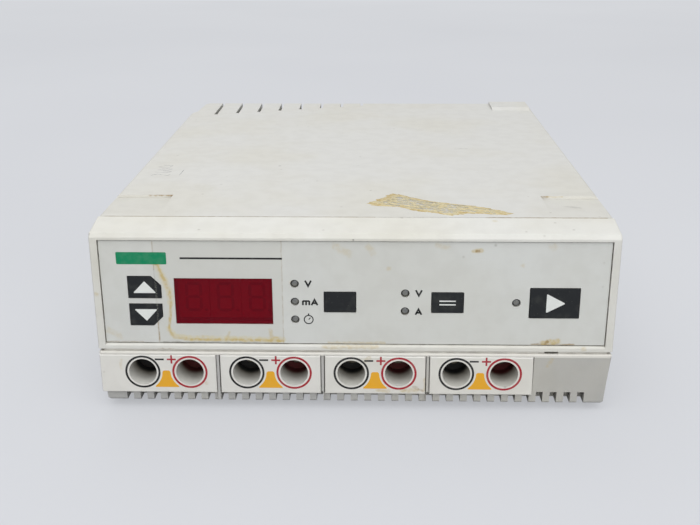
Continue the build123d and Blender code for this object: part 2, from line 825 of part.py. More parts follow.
# Tactile switches, one behind each key
with BuildPart() as key_switches:
    with BuildSketch(facing_front(display_board_y)):
        with Locations(*[(x, z) for x, z, width, height in keys.values()]):
            Rectangle(switch_size, switch_size)
    extrude(amount=switch_body_height)
    with BuildSketch(facing_front(switch_face_y)):
        with Locations(*[(x, z) for x, z, width, height in keys.values()]):
            Circle(switch_button_radius)
    extrude(amount=switch_button_height)
finish(key_switches.part, "key_switches")

# Red window: flush in the overlay, held by a flange behind the wall
with BuildPart() as display_window:
    with BuildSketch(facing_front(overlay_face_y + window_setback)):
        with Locations((display_x, controls_z)):
            Rectangle(display_width, display_height)
    extrude(amount=-(panel_back_y - overlay_face_y - window_setback))
    with BuildSketch(facing_front(panel_back_y)):
        with Locations((display_x, controls_z)):
            Rectangle(display_width + 2 * window_flange, display_height + 2 * window_flange)
    extrude(amount=-window_flange_thickness)
finish(display_window.part, "display_window")

# Seven-segment modules
segment_places = [
    (0, digit_segment_length, 0),
    (0, 0, 0),
    (0, -digit_segment_length, 0),
    (-digit_segment_length / 2, digit_segment_length / 2, 90),
    (digit_segment_length / 2, digit_segment_length / 2, 90),
    (-digit_segment_length / 2, -digit_segment_length / 2, 90),
    (digit_segment_length / 2, -digit_segment_length / 2, 90),
]
digit_face_y = panel_back_y + window_flange_thickness + digit_face_gap
for number in range(3):
    digit_x = display_x + (number - 1) * digit_pitch
    with BuildPart() as digit:
        with BuildSketch(facing_front(digit_face_y)):
            with Locations((digit_x, controls_z)):
                Rectangle(digit_pitch - digit_gap, digit_height)
        extrude(amount=-(display_board_y - digit_face_y))
        with BuildSketch(facing_front(digit_face_y)):
            for segment_x, segment_z, turn in segment_places:
                with Locations(Location((digit_x + segment_x, controls_z + segment_z), turn)):
                    SlotOverall(digit_segment_length - digit_segment_gap, digit_segment_width)
            with Locations((digit_x + digit_point_offset, controls_z - digit_segment_length)):
                Circle(digit_segment_width / 2)
        extrude(amount=-digit_segment_depth, mode=Mode.SUBTRACT)
    finish(digit.part, f"digit_{number + 1}")

# Indicator lamps: a domed lens with a collar, on a spacer that reaches the board
lamp_tip_y = overlay_face_y + lamp_setback
lamp_collar_y = panel_back_y + lamp_collar_gap
for lamp_name, (lamp_x, lamp_z) in lamps.items():
    with BuildPart() as lamp:
        with BuildSketch(facing_front(lamp_tip_y)):
            with Locations((lamp_x, lamp_z)):
                Circle(lamp_radius)
        extrude(amount=-(display_board_y - lamp_tip_y))
        fillet(lamp.faces().sort_by(Axis.Y)[0].edges(), lamp_rounding)
        with BuildSketch(facing_front(lamp_collar_y)):
            with Locations((lamp_x, lamp_z)):
                Circle(lamp_radius + lamp_collar)
        extrude(amount=-(display_board_y - lamp_collar_y))
    finish(lamp.part, lamp_name)

# Display board behind the controls
with BuildPart() as display_board:
    with BuildSketch(facing_front(display_board_y)):
        with Locations((0, controls_z)):
            Rectangle(display_board_width, display_board_height)
        with Locations(*board_bosses):
            Circle(screw_radius + hole_clearance, mode=Mode.SUBTRACT)
    extrude(amount=-board_thickness)
finish(display_board.part, "display_board")

# Jack blocks: front plate with a skirt, and two barrels with a wide well in each
for number in range(4):
    left_gap = 0 if number == 0 else jack_rib / 2 + jack_rib_gap
    right_gap = 0 if number == 3 else jack_rib / 2 + jack_rib_gap
    plate_left = block_edges[number] + left_gap
    plate_right = block_edges[number + 1] - right_gap
    plate_x = (plate_left + plate_right) / 2
    plate_width = plate_right - plate_left
    plate_z = (block_bottom_z + block_top_z) / 2
    wells = [(minus_xs[number], jack_z), (plus_xs[number], jack_z)]
    with BuildPart() as jack_block:
        with BuildSketch(facing_front(block_face_y)):
            with Locations((plate_x, plate_z)):
                Rectangle(plate_width, jack_block_height)
        extrude(amount=-jack_block_seat)
        if number == 0:
            outer = jack_block.edges().filter_by(Axis.Y).group_by(Axis.X)[0].sort_by(Axis.Z)[0]
            fillet(outer, jack_block_corner)
        fillet(jack_block.faces().sort_by(Axis.Y)[0].edges(), jack_block_edge)
        with BuildSketch(facing_front(block_face_y + jack_block_plate)):
            with Locations((plate_x, plate_z)):
                Rectangle(plate_width - 2 * jack_block_wall, jack_block_height - 2 * jack_block_wall)
        extrude(amount=-jack_block_seat, mode=Mode.SUBTRACT)
        with BuildSketch(facing_front(block_face_y + jack_block_plate / 2)):
            with Locations(*wells):
                Circle(barrel_radius)
        extrude(amount=-(barrel_length - jack_block_plate / 2))
        with BuildSketch(facing_front(block_face_y)):
            with Locations(*wells):
                Circle(well_radius)
        extrude(amount=-well_depth, mode=Mode.SUBTRACT)
        with BuildSketch(facing_front(block_face_y)):
            with Locations(*wells):
                Circle(contact_radius + contact_clearance)
        extrude(amount=-2 * barrel_length, mode=Mode.SUBTRACT)
    finish(jack_block.part, f"jack_block_{number + 1}")

# Contacts: a 4 mm sleeve, a flange against the barrel's end and a pin through the board
for kind, places in (("minus", minus_xs), ("plus", plus_xs)):
    for number, contact_x in enumerate(places):
        with BuildPart() as contact:
            with BuildSketch(facing_front(contact_front_y)):
                with Locations((contact_x, jack_z)):
                    Circle(contact_radius)
            extrude(amount=-(contact_flange_y - contact_front_y))
            with BuildSketch(facing_front(contact_flange_y)):
                with Locations((contact_x, jack_z)):
                    Circle(contact_radius + contact_flange)
            extrude(amount=-contact_flange_thickness)
            with BuildSketch(facing_front(output_board_y)):
                with Locations((contact_x, jack_z)):
                    Circle(contact_pin_radius)
            extrude(amount=-board_thickness - contact_pin_end)
            with BuildSketch(facing_front(contact_front_y)):
                with Locations((contact_x, jack_z)):
                    Circle(contact_bore_radius)
            extrude(amount=-contact_bore_depth, mode=Mode.SUBTRACT)
        finish(contact.part, f"{kind}_contact_{number + 1}")

# Output board that the contacts are soldered into
output_board_width = plus_xs[-1] - minus_xs[0] + 2 * output_board_margin
with BuildPart() as output_board:
    with BuildSketch(facing_front(output_board_y)):
        with Locations(((minus_xs[0] + plus_xs[-1]) / 2, jack_z)):
            Rectangle(output_board_width, 2 * output_board_margin)
        with Locations(*[(x, jack_z) for x in minus_xs + plus_xs]):
            Circle(contact_pin_radius + contact_pin_clearance, mode=Mode.SUBTRACT)
    extrude(amount=-board_thickness)
finish(output_board.part, "output_board")

# Main board on its standoffs
with BuildPart() as main_board:
    with BuildSketch(Plane.XY.offset(main_board_z)):
        with Locations((main_board_left, main_board_front)):
            Rectangle(
                main_board_right - main_board_left,
                main_board_rear - main_board_front,
                align=(Align.MIN, Align.MIN),
            )
        with Locations(*board_holes):
            Circle(screw_radius + hole_clearance, mode=Mode.SUBTRACT)
    extrude(amount=board_thickness)
finish(main_board.part, "main_board")

# Ribbon cable from the display board, over the output board, down to the main board
ribbon_x = main_board_left + ribbon_from_board_edge
ribbon_start_y = display_board_y + board_thickness
ribbon_end_y = main_board_front + ribbon_landing
ribbon_z = controls_z - display_board_height / 2 + ribbon_lift
with BuildPart() as ribbon_cable:
    with BuildSketch(Plane.YZ.offset(ribbon_x)):
        with BuildLine():
            FilletPolyline(
                (ribbon_start_y, ribbon_z),
                (ribbon_end_y, ribbon_z),
                (ribbon_end_y, board_top_z),
                radius=ribbon_bend,
            )
        trace(line_width=ribbon_thickness)
    extrude(amount=ribbon_width / 2, both=True)
finish(ribbon_cable.part, "ribbon_cable")

# Heat sink at the rear of the main board, its fins to the rear
sink_depth = heat_sink_plate + heat_sink_fin_depth
sink_plate_y = main_board_rear - sink_depth
fin_count = int((heat_sink_width - heat_sink_fin) / heat_sink_fin_pitch) + 1
with BuildPart() as heat_sink:
    with BuildSketch(Plane.XY.offset(board_top_z)):
        with Locations((main_board_left, sink_plate_y)):
            Rectangle(heat_sink_width, heat_sink_plate, align=(Align.MIN, Align.MIN))
        with Locations((main_board_left + heat_sink_width / 2, sink_plate_y + sink_depth / 2)):
            with GridLocations(heat_sink_fin_pitch, 0, fin_count, 1):
                Rectangle(heat_sink_fin, sink_depth)
    extrude(amount=heat_sink_height)
finish(heat_sink.part, "heat_sink")

# Power transistors and the rectifier bridge, clamped to the heat sink's flat face
transistor_pitch = heat_sink_width / 5
sink_parts = {
    "power_transistors": (
        [main_board_left + transistor_pitch * (n + 0.5) for n in range(4)],
        (transistor_width, transistor_height, transistor_thickness, transistor_lift),
        (transistor_lead_pitch, transistor_lead_count),
    ),
    "rectifier_bridge": (
        [main_board_left + transistor_pitch * 4.5],
        (bridge_width, bridge_height, bridge_thickness, bridge_lift),
        (bridge_lead_pitch, bridge_lead_count),
    ),
}
for name, (places, (width, height, thickness, lift), (lead_pitch, lead_count)) in sink_parts.items():
    with BuildPart() as sink_part:
        with BuildSketch(facing_front(sink_plate_y)):
            with Locations(*[(x, board_top_z + lift) for x in places]):
                Rectangle(width, height, align=(Align.CENTER, Align.MIN))
        extrude(amount=thickness)
        with BuildSketch(Plane.XY.offset(board_top_z)):
            with Locations(*[(x, sink_plate_y - thickness / 2) for x in places]):
                with GridLocations(lead_pitch, 0, lead_count, 1):
                    Rectangle(lead_width, lead_thickness)
        extrude(amount=lift + height / 4)
    finish(sink_part.part, name)

# Filter capacitors
for number in range(2):
    capacitor_pitch = 2 * capacitor_radius + capacitor_gap
    capacitor_x = main_board_left + capacitor_from_board_edge + number * capacitor_pitch
    capacitor_y = main_board_front + capacitor_from_board_front
    with BuildPart() as capacitor:
        with BuildSketch(Plane.XY.offset(board_top_z)):
            with Locations((capacitor_x, capacitor_y)):
                Circle(capacitor_radius)
        extrude(amount=capacitor_height)
        fillet(capacitor.faces().sort_by(Axis.Z)[-1].edges(), capacitor_rim)
        with BuildSketch(Plane.XY.offset(board_top_z + capacitor_bead_height)):
            with Locations((capacitor_x, capacitor_y)):
                Circle(2 * capacitor_radius)
                Circle(capacitor_radius - capacitor_bead_depth, mode=Mode.SUBTRACT)
        extrude(amount=capacitor_bead_width, mode=Mode.SUBTRACT)
    finish(capacitor.part, f"filter_capacitor_{number + 1}")

# Mains transformer: core with two windows, winding round its middle leg, and a strap
window_width = core_width / 2 - core_leg
window_height = core_height - 2 * core_yoke
core_middle_z = core_bottom_z + core_height / 2
window_y = core_leg / 2 + window_width / 2
with BuildPart() as transformer_core:
    with BuildSketch(Plane.YZ.offset(core_x - core_stack / 2)):
        with Locations((0, core_middle_z)):
            Rectangle(core_width, core_height)
        with Locations((-window_y, core_middle_z), (window_y, core_middle_z)):
            Rectangle(window_width, window_height, mode=Mode.SUBTRACT)
    extrude(amount=core_stack)
finish(transformer_core.part, "transformer_core")
winding_x = core_stack + 2 * winding_overhang
winding_y = core_leg + 2 * window_width - 2 * winding_gap
with BuildPart() as transformer_winding:
    with BuildSketch(Plane.XY.offset(core_middle_z - window_height / 2 + winding_gap)):
        with Locations((core_x, 0)):
            RectangleRounded(winding_x, winding_y, winding_corner)
            Rectangle(core_stack + 2 * winding_gap, core_leg + 2 * winding_gap, mode=Mode.SUBTRACT)
    extrude(amount=window_height - 2 * winding_gap)
finish(transformer_winding.part, "transformer_winding")
strap_top_z = core_bottom_z + core_height
half_core = core_width / 2
foot_end_y = half_core + strap_foot
foot_z = core_bottom_z - strap_thickness
with BuildPart() as transformer_strap:
    with BuildSketch(Plane.YZ.offset(core_x)):
        with BuildLine():
            half = Polyline(
                (0, strap_top_z),
                (half_core, strap_top_z),
                (half_core, foot_z),
                (foot_end_y, foot_z),
                (foot_end_y, core_bottom_z),
                (half_core + strap_thickness, core_bottom_z),
                (half_core + strap_thickness, strap_top_z + strap_thickness),
                (0, strap_top_z + strap_thickness),
            )
            mirror(half, about=Plane.YZ)
        make_face()
    extrude(amount=strap_width / 2, both=True)
    with BuildSketch(Plane.XY.offset(foot_z)):
        with Locations(*strap_feet):
            Circle(screw_radius + hole_clearance)
    extrude(amount=2 * strap_thickness, both=True, mode=Mode.SUBTRACT)
finish(transformer_strap.part, "transformer_strap")

# Places on the rear panel
socket_and_drawer = socket_height + inlet_middle_wall + drawer_height + 2 * drawer_gap
inlet_width = socket_width + 2 * inlet_side_wall
inlet_height = inlet_top_wall + socket_and_drawer + inlet_bottom_wall
inlet_x = half_width - inlet_from_right - inlet_width / 2
inlet_z = (upper_bottom_z + top_z - rear_lip_height) / 2
inlet_face_y = panel_face_y + inlet_flange_thickness
inlet_back_y = rear_panel_y - inlet_body_depth
socket_z = inlet_z + inlet_height / 2 - inlet_top_wall - socket_height / 2
drawer_z = inlet_z - inlet_height / 2 + inlet_bottom_wall + drawer_gap + drawer_height / 2
# The switch stands a little left of the middle between the heat sink and the inlet
heat_sink_right = main_board_left + heat_sink_width
switch_x = (heat_sink_right + inlet_x - inlet_width / 2) / 2 - switch_shift
rocker_frame_y = panel_face_y + switch_flange_thickness
cavity_width = rocker_width + 2 * rocker_side_gap
cavity_height = rocker_height + 2 * rocker_end_gap
switch_width = cavity_width + 2 * switch_wall
switch_height = cavity_height + 2 * switch_wall
cavity_back_y = rocker_frame_y - switch_cavity_depth
pivot_y = rocker_frame_y - rocker_pivot_depth

# Rear panel: a sheet in the base's groove, notched beside the cover's trimmed corner
panel_bottom_z = base_top_z - rear_groove_depth + fit_clearance
panel_shoulder_z = base_top_z + fit_clearance
panel_top_z = top_z - shell_wall - fit_clearance
panel_width = housing_width - 2 * shell_wall - 2 * fit_clearance
notch_width = trim_backing + fit_clearance
notch_height = trim_height - shell_wall
with BuildPart() as rear_panel:
    with BuildSketch(facing_front(rear_panel_y)):
        with Locations((0, panel_bottom_z)):
            Rectangle(
                housing_width - 2 * ring_inset - 2 * fit_clearance,
                panel_top_z - panel_bottom_z,
                align=(Align.CENTER, Align.MIN),
            )
        with Locations((0, panel_shoulder_z)):
            Rectangle(panel_width, panel_top_z - panel_shoulder_z, align=(Align.CENTER, Align.MIN))
        with Locations((-panel_width / 2, panel_top_z)):
            Rectangle(2 * notch_width, 2 * notch_height, mode=Mode.SUBTRACT)
        with Locations((inlet_x, inlet_z)):
            Rectangle(
                inlet_width - 2 * inlet_lip + 2 * cutout_clearance,
                inlet_height - 2 * inlet_lip + 2 * cutout_clearance,
                mode=Mode.SUBTRACT,
            )
        with Locations((switch_x, inlet_z)):
            Rectangle(
                switch_width + 2 * cutout_clearance,
                switch_height + 2 * cutout_clearance,
                mode=Mode.SUBTRACT,
            )
        with Locations(*lug_screws):
            Circle(screw_radius + hole_clearance, mode=Mode.SUBTRACT)
    extrude(amount=-rear_panel_thickness)
finish(rear_panel.part, "rear_panel")

# Mains inlet with the drawer's pocket under the socket
pin_places = [
    (inlet_x - pin_spacing, socket_z - earth_pin_lift),
    (inlet_x, socket_z + earth_pin_lift),
    (inlet_x + pin_spacing, socket_z - earth_pin_lift),
]
drawer_width = fuse_length + 2 * fuse_clearance + 2 * drawer_side_wall
with BuildPart() as mains_inlet:
    with BuildSketch(facing_front(panel_face_y)):
        with Locations((inlet_x, inlet_z)):
            RectangleRounded(inlet_width, inlet_height, inlet_corner)
    extrude(amount=-inlet_flange_thickness)
    with BuildSketch(facing_front(inlet_back_y)):
        with Locations((inlet_x, inlet_z)):
            Rectangle(inlet_width - 2 * inlet_lip, inlet_height - 2 * inlet_lip)
    extrude(amount=-(panel_face_y + inlet_flange_thickness / 2 - inlet_back_y))
    with BuildSketch(facing_front(inlet_face_y)):
        with Locations((inlet_x, socket_z)):
            mouth = Rectangle(socket_width, socket_height)
        chamfer(mouth.vertices().group_by(Axis.Y)[-1], socket_corner)
    extrude(amount=socket_depth, both=True, mode=Mode.SUBTRACT)
    with BuildSketch(facing_front(inlet_face_y)):
        with Locations((inlet_x, drawer_z)):
            Rectangle(drawer_width + 2 * drawer_gap, drawer_height + 2 * drawer_gap)
    extrude(amount=drawer_depth + drawer_gap, both=True, mode=Mode.SUBTRACT)
    with BuildSketch(facing_front(inlet_back_y)):
        with Locations(*pin_places):
            Rectangle(pin_width + 2 * pin_clearance, pin_height + 2 * pin_clearance)
    extrude(amount=inlet_body_depth, both=True, mode=Mode.SUBTRACT)
finish(mains_inlet.part, "mains_inlet")
pin_end_y = inlet_back_y - pin_tail
with BuildPart() as inlet_pins:
    with BuildSketch(facing_front(pin_end_y)):
        with Locations(*pin_places):
            Rectangle(pin_width, pin_height)
    extrude(amount=-(inlet_face_y - pin_setback - pin_end_y))
finish(inlet_pins.part, "inlet_pins")

# Fuse drawer, which pulls out to the rear with its fuse
drawer_end_y = inlet_face_y - drawer_depth
drawer_back_y = inlet_face_y + drawer_face_gap
drawer_face_y = drawer_back_y + drawer_face_thickness
fuse_y = drawer_end_y + fuse_from_end + fuse_radius
with BuildPart() as fuse_drawer:
    with BuildSketch(facing_front(drawer_end_y)):
        with Locations((inlet_x, drawer_z)):
            Rectangle(drawer_width, drawer_height)
    extrude(amount=-(drawer_back_y - drawer_end_y))
    with BuildSketch(facing_front(drawer_back_y)):
        with Locations((inlet_x, drawer_z)):
            Rectangle(drawer_width + 2 * drawer_face_lip, drawer_height + 2 * drawer_face_lip)
    extrude(amount=-drawer_face_thickness)
    with BuildSketch(Plane.XY.offset(drawer_z - fuse_radius - fuse_clearance)):
        with Locations((inlet_x, fuse_y)):
            Rectangle(fuse_length + 2 * fuse_clearance, 2 * fuse_radius + 2 * fuse_clearance)
    extrude(amount=drawer_height, mode=Mode.SUBTRACT)
    with BuildSketch(facing_front(drawer_face_y)):
        with Locations((inlet_x, drawer_z)):
            SlotOverall(drawer_grip_length, drawer_grip_width)
    extrude(amount=drawer_grip_depth, mode=Mode.SUBTRACT)
finish(fuse_drawer.part, "fuse_drawer")
with BuildPart() as mains_fuse:
    with BuildSketch(Plane.YZ.offset(inlet_x)):
        with Locations((fuse_y, drawer_z)):
            Circle(fuse_radius)
    extrude(amount=fuse_length / 2, both=True)
    with BuildSketch(Plane.YZ.offset(inlet_x)):
        with Locations((fuse_y, drawer_z)):
            Circle(2 * fuse_radius)
            Circle(fuse_radius - fuse_waist, mode=Mode.SUBTRACT)
    extrude(amount=fuse_length / 2 - fuse_cap_length, both=True, mode=Mode.SUBTRACT)
finish(mains_fuse.part, "mains_fuse")

# Power switch: frame in the panel, and a rocker on two studs, resting at off
with BuildPart() as switch_frame:
    with BuildSketch(facing_front(panel_face_y)):
        with Locations((switch_x, inlet_z)):
            RectangleRounded(
                switch_width + 2 * switch_lip,
                switch_height + 2 * switch_lip,
                switch_corner,
            )
    extrude(amount=-switch_flange_thickness)
    with BuildSketch(facing_front(cavity_back_y - switch_bottom)):
        with Locations((switch_x, inlet_z)):
            Rectangle(switch_width, switch_height)
    extrude(amount=-(rocker_frame_y - cavity_back_y + switch_bottom))
    with BuildSketch(facing_front(rocker_frame_y)):
        with Locations((switch_x, inlet_z)):
            Rectangle(cavity_width, cavity_height)
    extrude(amount=switch_cavity_depth, both=True, mode=Mode.SUBTRACT)
    with BuildSketch(Plane.YZ.offset(switch_x)):
        with Locations((pivot_y, inlet_z)):
            Circle(rocker_stud_radius + rocker_stud_clearance)
    stud_hole_end = cavity_width / 2 + rocker_stud_length + rocker_stud_clearance
    extrude(amount=stud_hole_end, both=True, mode=Mode.SUBTRACT)
finish(switch_frame.part, "switch_frame")
with BuildPart() as power_rocker:
    with BuildSketch(Plane.YZ.offset(switch_x)):
        with BuildLine():
            Polyline(
                (pivot_y + rocker_tip_proud, inlet_z - rocker_height / 2),
                (pivot_y + rocker_tip_proud - rocker_dip, inlet_z),
                (pivot_y + rocker_tip_proud, inlet_z + rocker_height / 2),
                (pivot_y + rocker_tip_back, inlet_z + rocker_height / 2),
                (pivot_y - rocker_keel_depth, inlet_z + rocker_keel_height / 2),
                (pivot_y - rocker_keel_depth, inlet_z - rocker_keel_height / 2),
                (pivot_y + rocker_tip_back, inlet_z - rocker_height / 2),
                close=True,
            )
        make_face()
    extrude(amount=rocker_width / 2, both=True)
    with BuildSketch(Plane.YZ.offset(switch_x)):
        with Locations((pivot_y, inlet_z)):
            Circle(rocker_stud_radius)
    extrude(amount=cavity_width / 2 + rocker_stud_length, both=True)
rocker_axis = Axis((switch_x, pivot_y, inlet_z), (1, 0, 0))
finish(power_rocker.part.rotate(rocker_axis, -rocker_angle), "power_rocker")

# Mains wires from the inlet's outer pins to the main board
with BuildPart() as mains_wires:
    for (pin_x, pin_z), side in ((pin_places[0], -1), (pin_places[2], 1)):
        wire_x = main_board_right - wire_from_board_edge - side * wire_spread
        wire_y = pin_end_y - wire_run - side * wire_spread
        with BuildLine():
            route = FilletPolyline(
                (pin_x, pin_end_y, pin_z),
                (pin_x, wire_y, pin_z),
                (wire_x, wire_y, pin_z),
                (wire_x, wire_y, board_top_z),
                radius=wire_bend,
            )
        with BuildSketch(Plane(route @ 0, z_dir=route % 0)):
            Circle(wire_radius)
        sweep(path=route)
finish(mains_wires.part, "mains_wires")

# Rubber feet in their seats
for number, (foot_x, foot_y) in enumerate(foot_places):
    with BuildPart() as rubber_foot:
        with BuildSketch(Plane.XY):
            with Locations((foot_x, foot_y)):
                Circle(foot_radius)
        extrude(amount=foot_height + foot_seat - foot_seat_gap)
        fillet(rubber_foot.faces().sort_by(Axis.Z)[0].edges(), foot_edge_radius)
    finish(rubber_foot.part, f"rubber_foot_{number + 1}")


def screws(seat, places, length, head_side):
    """Screws in the part that is open: heads on one side of the seat plane, shanks on the other."""
    with BuildSketch(seat) as heads:
        with Locations(*places):
            Circle(screw_head_radius)
    extrude(heads.sketch, amount=head_side * screw_head_height)
    with BuildSketch(seat) as shanks:
        with Locations(*places):
            Circle(screw_radius)
    extrude(shanks.sketch, amount=-head_side * length)


# Case screws, up through the columns into the cover's bosses, with cross slots
with BuildPart() as case_screws:
    screws(Plane.XY.offset(case_screw_z), column_places, case_screw_length, -1)
    with BuildSketch(Plane.XY.offset(case_screw_z - screw_head_height)):
        with Locations(*column_places):
            Rectangle(screw_slot_length, screw_slot_width)
            Rectangle(screw_slot_width, screw_slot_length)
    extrude(amount=screw_slot_depth, mode=Mode.SUBTRACT)
finish(case_screws.part, "case_screws")

# Small screws of the boards, the strap and the rear panel
thread_room = standoff_height - screw_end_gap
display_board_back = facing_front(display_board_y + board_thickness)
with BuildPart() as board_screws:
    screws(Plane.XY.offset(board_top_z), board_holes, board_thickness + thread_room, 1)
    screws(Plane.XY.offset(core_bottom_z), strap_feet, strap_thickness + thread_room, 1)
    screws(display_board_back, board_bosses, display_screw_length, -1)
    screws(facing_front(panel_face_y), lug_screws, lug_screw_length, -1)
finish(board_screws.part, "board_screws")
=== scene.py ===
"""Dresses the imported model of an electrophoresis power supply.

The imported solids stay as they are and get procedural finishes. Printed marks, dried adhesive on the
cover and a few pencil strokes are added as thin meshes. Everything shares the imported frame: +Z up,
X to the right along the front, Y to the rear. Sizes below are in millimetres, and meshes are written
in metres.
"""

import json
import logging
from dataclasses import dataclass
from enum import Enum

import bmesh
import bpy
import numpy as np
from mathutils import Matrix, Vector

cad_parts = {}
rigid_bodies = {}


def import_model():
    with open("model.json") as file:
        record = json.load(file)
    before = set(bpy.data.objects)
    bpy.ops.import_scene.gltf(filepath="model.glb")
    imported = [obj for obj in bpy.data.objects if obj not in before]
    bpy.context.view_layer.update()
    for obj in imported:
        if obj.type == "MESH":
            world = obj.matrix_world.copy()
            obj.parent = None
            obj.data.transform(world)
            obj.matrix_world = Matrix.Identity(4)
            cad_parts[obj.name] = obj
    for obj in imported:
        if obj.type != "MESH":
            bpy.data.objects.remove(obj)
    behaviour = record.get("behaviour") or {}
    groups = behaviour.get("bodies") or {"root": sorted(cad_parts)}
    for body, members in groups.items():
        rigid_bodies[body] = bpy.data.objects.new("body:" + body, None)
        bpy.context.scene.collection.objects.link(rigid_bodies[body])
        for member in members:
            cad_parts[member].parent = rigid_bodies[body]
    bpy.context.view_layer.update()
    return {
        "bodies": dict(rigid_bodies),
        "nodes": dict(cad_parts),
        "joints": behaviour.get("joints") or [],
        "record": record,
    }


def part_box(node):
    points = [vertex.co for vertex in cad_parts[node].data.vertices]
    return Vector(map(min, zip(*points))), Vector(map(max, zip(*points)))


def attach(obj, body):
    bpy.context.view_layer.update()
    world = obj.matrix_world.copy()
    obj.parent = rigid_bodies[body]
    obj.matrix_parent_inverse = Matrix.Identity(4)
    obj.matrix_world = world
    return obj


MM = 0.001
HOUSING = "housing"
log = logging.getLogger("power_supply")

Rgba = tuple[float, float, float, float]
Point = tuple[float, float, float]
Flat = tuple[float, float]
Socket = bpy.types.NodeSocket
Shell = tuple[np.ndarray, np.ndarray]


def colour(red: int, green: int, blue: int) -> Rgba:
    """Turns a colour as seen on a screen, 0 to 255, into the linear values that shaders take.

    Args:
        red, green, blue: Parts of the colour as displayed.

    Returns:
        Linear red, green and blue, and full opacity.
    """
    seen = np.array([red, green, blue]) / 255
    linear = np.where(seen <= 0.04045, seen / 12.92, ((seen + 0.055) / 1.055) ** 2.4)
    return (*(float(part) for part in linear), 1.0)


CREAM = colour(208, 208, 203)
STRAW = colour(204, 190, 140)
OCHRE = colour(188, 166, 104)
BROWN = colour(140, 112, 60)
SOOT = colour(70, 62, 50)


class Graph:
    """A node tree with short methods that add nodes and link them.

    Attributes:
        spacing: Distance from node to node in the editor.
        tree: The node tree.
        count: Number of nodes added so far.
    """

    spacing = 180

    def __init__(self, tree: bpy.types.NodeTree) -> None:
        """Keeps the tree.

        Args:
            tree: Node tree of a material, world or group.
        """
        self.tree = tree
        self.count = 0

    def add(self, kind: str, inputs: dict | None = None, **settings: object) -> bpy.types.Node:
        """Adds a node and feeds its inputs.

        Args:
            kind: Type name of the node.
            inputs: Values or sockets by input name or number.
            settings: Properties of the node.

        Returns:
            The new node.
        """
        node = self.tree.nodes.new(kind)
        node.location = (self.spacing * self.count, 0)
        self.count += 1
        for name, value in settings.items():
            setattr(node, name, value)
        for name, value in (inputs or {}).items():
            self.feed(node.inputs[name], value)
        return node

    def feed(self, socket: Socket, value: object) -> None:
        """Links a socket to an input, or sets the input to a plain value.

        Args:
            socket: The input.
            value: What it gets.
        """
        if isinstance(value, bpy.types.NodeSocket):
            self.tree.links.new(value, socket)
        else:
            socket.default_value = value

    def math(self, operation: str, first: object, second: object = 0.0, third: object = 0.0) -> Socket:
        """Works with numbers.

        Args:
            operation: The sum to do, clamped to 0 and 1 where it ends in '!'.
            first, second, third: Its numbers.

        Returns:
            The result.
        """
        inputs = {0: first, 1: second, 2: third}
        clamped = operation.endswith("!")
        node = self.add("ShaderNodeMath", inputs, operation=operation.rstrip("!"), use_clamp=clamped)
        return node.outputs[0]

    def times(self, first: object, second: object) -> Socket:
        """One number times another."""
        return self.math("MULTIPLY", first, second)

    def apart(self, value: object, middle: object) -> Socket:
        """How far a value lies from a middle, on either side."""
        return self.math("ABSOLUTE", self.math("SUBTRACT", value, middle))

    def vector(self, operation: str, first: object, second: object = (0.0, 0.0, 0.0)) -> Socket:
        """Works with vectors.

        Args:
            operation: The sum to do.
            first, second: Its vectors.

        Returns:
            A number for a dot product or a length, else a vector.
        """
        node = self.add("ShaderNodeVectorMath", {0: first, 1: second}, operation=operation)
        return node.outputs["Value" if operation in ("DOT_PRODUCT", "LENGTH") else "Vector"]

    def scaled(self, vector: Socket, factor: object) -> Socket:
        """A vector times a number."""
        node = self.add("ShaderNodeVectorMath", {0: vector, "Scale": factor}, operation="SCALE")
        return node.outputs["Vector"]

    def mix(self, share: object, first: object, second: object) -> Socket:
        """Colour between two colours."""
        return self.add("ShaderNodeMix", {0: share, 6: first, 7: second}, data_type="RGBA").outputs[2]

    def between(
        self, value: object, start: object, end: object, low: float = 0.0, high: float = 1.0
    ) -> Socket:
        """Steps smoothly as a value goes from a start to an end.

        Args:
            value: The value that is looked at.
            start, end: Where the step begins and ends.
            low, high: What comes out before and after it.

        Returns:
            The stepped value.
        """
        inputs = {"Value": value, "From Min": start, "From Max": end, "To Min": low, "To Max": high}
        return self.add("ShaderNodeMapRange", inputs, interpolation_type="SMOOTHSTEP").outputs[0]

    def axes(self, vector: Socket) -> tuple[Socket, Socket, Socket]:
        """The three parts of a vector."""
        return tuple(self.add("ShaderNodeSeparateXYZ", {0: vector}).outputs)

    def noise(self, vector: Socket, size: object, detail: float = 2.0) -> Socket:
        """Makes cloudy noise, 0 to 1.

        Args:
            vector: Place to look it up at.
            size: Size of its features.
            detail: Number of finer layers on it.

        Returns:
            The noise.
        """
        inputs = {"Vector": self.scaled(vector, self.math("DIVIDE", 1.0, size)), "Scale": 1.0}
        return self.add("ShaderNodeTexNoise", {**inputs, "Detail": detail}).outputs[0]

    def places(self) -> Socket:
        """Object coordinates in millimetres."""
        return self.scaled(self.add("ShaderNodeTexCoord").outputs["Object"], 1 / MM)


class Kind(Enum):
    """Socket types of a node group."""

    NUMBER = "NodeSocketFloat"
    PLACE = "NodeSocketVector"
    COLOUR = "NodeSocketColor"


PLACES = ("Vector", "Start", "End", "Low", "High", "Stretch")
COLOURS = ("Colour", "Tint", "Dirt")


